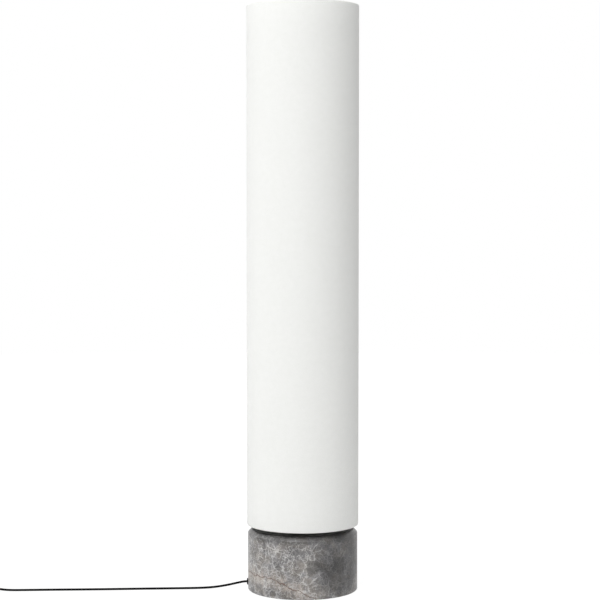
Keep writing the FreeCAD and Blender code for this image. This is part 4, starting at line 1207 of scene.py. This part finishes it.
class LAMP_OT_bulbs(bpy.types.Operator):
    """Make the two opal bulbs with their threaded caps"""

    bl_idname = "lamp.bulbs"
    bl_label = "Bulbs"

    def execute(self, context):
        for side in ("lower", "upper"):
            self.bulb(side)
        return {"FINISHED"}

    @staticmethod
    def bulb(side):
        """Make one bulb."""
        axis = AXES[side]
        low = turned_box(f"{side}_bulb_contact")[0]
        turned(f"{side}_contact_domed", rounded_outline([
            (0, 0, 0), (0.0045, 0, 0.0012), (0.0045, 0.0015, 0), (0, 0.0015, 0),
        ], low, closed=False), "brass", f"{side}_bulb_tip", f"{side}_bulb_contact", axis,
               segments=32, closed=False)

        low, high, radius = turned_box(f"{side}_bulb_cap")
        tall = high - low
        depth, lip = 0.00035, 0.0002
        base = radius - depth
        outline = rounded_outline([
            (0, 0, 0), (radius - 0.0055, 0, 0.0005), (base, 0.004, 0.001),
            (base, tall - 0.001, 0.0003), (radius + lip, tall - 0.0004, 0.0002),
            (radius + lip, tall, 0), (0, tall, 0),
        ], low, closed=False, steps=3)
        turned(f"{side}_cap_threaded", spaced(outline, THREAD_PITCH / 12, closed=False),
               "cap_nickel", f"{side}_bulb", f"{side}_bulb_cap", axis, segments=64,
               closed=False, waves={
                   "Pitch": THREAD_PITCH, "Starts": 1.0, "Depth": depth,
                   "Low": low + 0.0035, "High": high - 0.0015, "Fade": 0.0012,
               })

        low, high, joint = turned_box(f"{side}_bulb_collar")
        rim, straight = 0.0137, 0.004
        curve = 0.060
        foot = Vector((rim, low + straight))
        outline = [(0, low), (rim - 0.0004, low), (rim, low + 0.0004), tuple(foot)]
        chord = Vector((joint - rim, high - low - straight))
        sag = curve - math.sqrt(curve ** 2 - chord.length_squared / 4)
        normal = Vector((chord.y, -chord.x)).normalized()
        for step in range(1, 17):
            away = (step / 16 - 0.5) * chord.length
            bow = math.sqrt(curve ** 2 - away ** 2) - (curve - sag)
            outline.append(foot + chord * (step / 16) + normal * bow)
        outline += [(joint - 0.0006, high + 0.0002), (0, high + 0.0002)]
        turned(f"{side}_collar_moulded", outline, "bulb_white", f"{side}_bulb",
               f"{side}_bulb_collar", axis, closed=False)

        low, high, radius = turned_box(f"{side}_bulb_globe")
        centre = high - radius
        start = math.asin((low - centre) / radius)
        outline = [(0, low)]
        for step in range(40):
            angle = start + (math.pi / 2 - start) * step / 40
            outline.append((radius * math.cos(angle), centre + radius * math.sin(angle)))
        turned(f"{side}_globe_opal", [*outline, (0, high)], "opal_glass", f"{side}_bulb",
               f"{side}_bulb_globe", axis, closed=False)


# ---- Lead, with grommet, foot switch, coil and plug ----

FLOOR = CORD_RADIUS + 0.00005
SWITCH_LOW, SWITCH_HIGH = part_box("switch_lower_shell")
SWITCH_SIDE = (SWITCH_LOW.y + SWITCH_HIGH.y) / 2
SWITCH_INLET = 0.006
# How far the lead goes on into the switch, to its clamp.
CLAMPED = 0.008
SPOT_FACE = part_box("inner_cord")[0].x
PLUG_MIDDLE = middle("plug_pins")
PLUG_LOW, PLUG_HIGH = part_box("plug_body")

# The lead's route on the floor, from the block to the foot switch, in metres.
POWER_CORD = (
    (SPOT_FACE, 0, GROMMET_LEVEL),
    (-0.121, 0, GROMMET_LEVEL),
    (-0.136, -0.0002, 0.0120),
    (-0.156, -0.0008, 0.0076),
    (-0.180, -0.0022, 0.0039),
    (-0.208, -0.0048, FLOOR),
    (-0.258, -0.0084, FLOOR),
    (-0.318, -0.0115, FLOOR),
    (-0.384, -0.0159, FLOOR),
    (-0.446, -0.0194, FLOOR),
    (-0.509, -0.0216, FLOOR),
    (-0.566, -0.0246, FLOOR),
    (-0.608, -0.0266, FLOOR),
    (-0.631, SWITCH_SIDE, SWITCH_INLET),
    (SWITCH_HIGH.x - CLAMPED, SWITCH_SIDE, SWITCH_INLET),
)
COIL_MIDDLE = -0.795
COIL_FIRST_RADIUS = 0.031
COIL_PITCH = 0.0051
LAYER_TURNS = 2
LAYERS = 4
POINTS_PER_HALF_TURN = 8


def coil_route():
    """List control points of the coil, which spirals in and out again in four layers."""
    per_layer = 2 * LAYER_TURNS
    side, height, heading = SWITCH_SIDE, FLOOR, 1
    points = []
    for number in range(LAYERS * (per_layer + 1) - 1):
        step = per_layer - abs((number + 1) % (2 * per_layer + 2) - per_layer - 1)
        radius = COIL_FIRST_RADIUS - step * COIL_PITCH / 2
        rise = COIL_PITCH if number % (per_layer + 1) == per_layer else 0
        centre = side + heading * radius
        reach = radius / math.cos(math.pi / 2 / POINTS_PER_HALF_TURN)
        for part in range(POINTS_PER_HALF_TURN):
            share = (part + 0.5) / POINTS_PER_HALF_TURN
            angle = math.pi * share
            points.append((
                COIL_MIDDLE - heading * reach * math.sin(angle),
                centre - heading * reach * math.cos(angle),
                height + rise * share,
            ))
        side += heading * 2 * radius
        height += rise
        heading = -heading
    return points, side, height


def far_route():
    """List the route from the switch through the coil to the plug."""
    turns, side, height = coil_route()
    start = COIL_MIDDLE + 2 * CORD_RADIUS
    return [
        (SWITCH_LOW.x, SWITCH_SIDE, SWITCH_INLET),
        (-0.757, SWITCH_SIDE, SWITCH_INLET),
        (-0.779, SWITCH_SIDE, FLOOR),
        (start, SWITCH_SIDE, FLOOR),
        *turns,
        (start, side, height),
        (-0.779, side, height),
        (-0.760, side, 0.0123),
        (-0.744, side, PLUG_MIDDLE.z),
        (PLUG_LOW.x, side, PLUG_MIDDLE.z),
    ]


class LAMP_OT_fittings(bpy.types.Operator):
    """Make the grommet, the foot switch and the plug that are on the lead"""

    bl_idname = "lamp.fittings"
    bl_label = "Grommet, switch and plug"

    def execute(self, context):
        self.grommet()
        self.switch()
        self.plug()
        return {"FINISHED"}

    @staticmethod
    def ribs(name, radius, thick, start, slot, **copies):
        """Make a row of round ribs along X."""
        outline = [(radius + x, y) for x, y in circle(thick, 10)]
        mesh = laid(turned_mesh(name, outline, segments=40), start, (1, 0, 0))
        formed(keep(mesh, slot, "base"), "copies", Centre=start, **copies)

    @staticmethod
    def grommet():
        """Make the rubber bush with its round flange."""
        low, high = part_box("cord_grommet")
        long = high.x - low.x
        flange, bore, barrel = (high.y - low.y) / 2, CORD_RADIUS - 0.0001, long - 0.0027
        outline = rounded_outline([
            (bore, 0, 0), (0.0045, 0, 0.0008), (0.0045, barrel, 0), (flange, barrel, 0.0003),
            (flange, long, 0.0012), (0.0042, long, 0.0006), (bore, long - 0.0012, 0.0003),
        ])
        mesh = laid(turned_mesh("grommet_round", outline, segments=64),
                    (high.x, 0, GROMMET_LEVEL), (-1, 0, 0))
        keep(mesh, "soft_black", "base", "cord_grommet")

    def switch(self):
        """Make the two shells, the dished button, the ribs round the inlets and the screws."""
        dress_nodes("base", [
            ("switch_lower_shell", "switch_black", 0.0006),
            ("switch_upper_shell", "switch_black", 0.0004),
        ])
        low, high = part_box("switch_button")
        centre, tall = middle("switch_button"), high.z - low.z
        flange, radius = 0.0125, 0.011
        turned("button_dished", rounded_outline([
            (0, 0, 0), (flange, 0, 0.0002), (flange, 0.002, 0.0002), (radius, 0.002, 0),
            (radius, tall - 0.0002, 0.0014), (0.0088, tall, 0.0004),
            (0.0082, tall - 0.0006, 0.0003), (0, tall - 0.0010, 0),
        ], low.z, closed=False), "switch_black", "switch_button", "switch_button", centre,
               closed=False)

        low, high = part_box("switch_screws")
        head = 0.0025
        mesh = screw_mesh("switch_screws_crossed", head, 0.0013, 0.0018, high.z - low.z)
        start = (low.x + head, centre.y, low.z)
        mesh.transform(Matrix.Translation(start))
        formed(keep(mesh, "zinc_steel", "base", "switch_screws"), "copies", Count=2,
               Centre=start, Step=(0.060, 0, 0))

        for name, end, way in (("near", SWITCH_HIGH.x, -1), ("far", SWITCH_LOW.x, 1)):
            start = (end + way * 0.0066, SWITCH_SIDE, SWITCH_INLET)
            self.ribs(f"inlet_ribs_{name}", 0.0051, 0.00045, start, "switch_black", Count=4,
                      Step=(-way * 0.0018, 0, 0), Last_scale=0.76)

    def plug(self):
        """Make the flat plug with its ribbed relief, grips and sleeved pins."""
        dress_nodes("base", [("plug_body", "cord_black", 0.0003)])
        level, side = PLUG_MIDDLE.z, PLUG_MIDDLE.y
        self.ribs("relief_ribs", 0.0054, 0.0006, (PLUG_LOW.x + 0.0225, side, level),
                  "cord_black", Count=8, Step=(-0.0029, 0, 0), Last_scale=0.64)

        start = (PLUG_LOW.x + 0.036, side, PLUG_HIGH.z - 0.0002)
        bm = bmesh.new()
        bmesh.ops.create_cube(bm, size=1, matrix=Matrix.Translation(start)
                              @ Matrix.Diagonal((0.0011, 0.016, 0.0009, 1)))
        bmesh.ops.bevel(bm, geom=bm.edges[:], offset=0.0004, segments=3, affect="EDGES")
        formed(keep(mesh_from(bm, "plug_grips"), "cord_black", "base"), "copies", Count=6,
               Centre=start, Step=(0.0024, 0, 0))

        low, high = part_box("plug_pins")
        radius, long, sleeve = (high.z - low.z) / 2, high.x - low.x, 0.0155
        bare = radius - 0.00012
        mesh = turned_mesh("pins_sleeved", rounded_outline([
            (0, 0, 0), (radius, 0, 0), (radius, sleeve, 0.0001), (bare, sleeve + 0.0001, 0),
            (bare, long, 0.0017), (0, long, 0),
        ], closed=False), segments=32, closed=False)
        laid(mesh, (low.x, low.y + radius, level), (1, 0, 0))
        keep(mesh, "cap_nickel", "base", "plug_pins")
        mesh.materials.append(finish("soft_black"))
        for face in mesh.polygons:
            face.material_index = int(face.center.x < low.x + sleeve)
        second = mesh.copy()
        second.transform(Matrix.Translation((0, high.y - low.y - 2 * radius, 0)))
        bm = bmesh.new()
        bm.from_mesh(mesh)
        bm.from_mesh(second)
        bm.to_mesh(mesh)
        bm.free()


class LAMP_OT_cord(bpy.types.Operator):
    """Lay the lead from the block to the foot switch, and on through the coil to the plug"""

    bl_idname = "lamp.cord"
    bl_label = "Lead"

    def execute(self, context):
        black = grained("Black sheath", context.scene.lamp_cord.colour, 0.55, 0.0004, 0.00002,
                        Specular_IOR_Level=0.05)
        near = keep(lead_curve("floor_lead", [POWER_CORD], CORD_RADIUS), "cord_black", "base",
                    "power_cord", material=black)
        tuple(POWER_CORD[0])
        route = far_route()
        coil = keep(lead_curve("coiled_lead", [route], CORD_RADIUS), "cord_black", "base",
                    "switch_cord", "cord_coil", "plug_cord", material=black)
        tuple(route[0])
        return {"FINISHED"}


# ---- Add-on ----


class LAMP_PT_panel(bpy.types.Panel):
    """Sidebar panel with the steps in their order"""

    bl_idname = "LAMP_PT_panel"
    bl_label = "Column Lamp"
    bl_space_type = "VIEW_3D"
    bl_region_type = "UI"
    bl_category = "Lamp"

    def draw(self, context):
        column = self.layout.column()
        for step in STEPS:
            column.operator(step.bl_idname)


STEPS = (
    LAMP_OT_stage, LAMP_OT_canvas, LAMP_OT_drum_frame, LAMP_OT_block, LAMP_OT_underside,
    LAMP_OT_mast, LAMP_OT_lampholders, LAMP_OT_bulbs, LAMP_OT_fittings, LAMP_OT_cord,
)
SETTINGS = {
    "lamp_canvas": CanvasSettings,
    "lamp_marble": MarbleSettings,
    "lamp_cord": CordSettings,
    "lamp_stage": StageSettings,
}
CLASSES = (*SETTINGS.values(), *STEPS, LAMP_PT_panel)


def register():
    """Register the classes and the settings."""
    for item in CLASSES:
        bpy.utils.register_class(item)
    for name, group in SETTINGS.items():
        setattr(bpy.types.Scene, name, bpy.props.PointerProperty(type=group))


def unregister():
    """Take the settings and the classes away again."""
    for name in SETTINGS:
        delattr(bpy.types.Scene, name)
    for item in reversed(CLASSES):
        bpy.utils.unregister_class(item)


def main():
    """Dress the lamp."""
    register()
    for step in STEPS:
        getattr(bpy.ops.lamp, step.bl_idname.split(".")[1])()


if __name__ == "__main__":
    main()
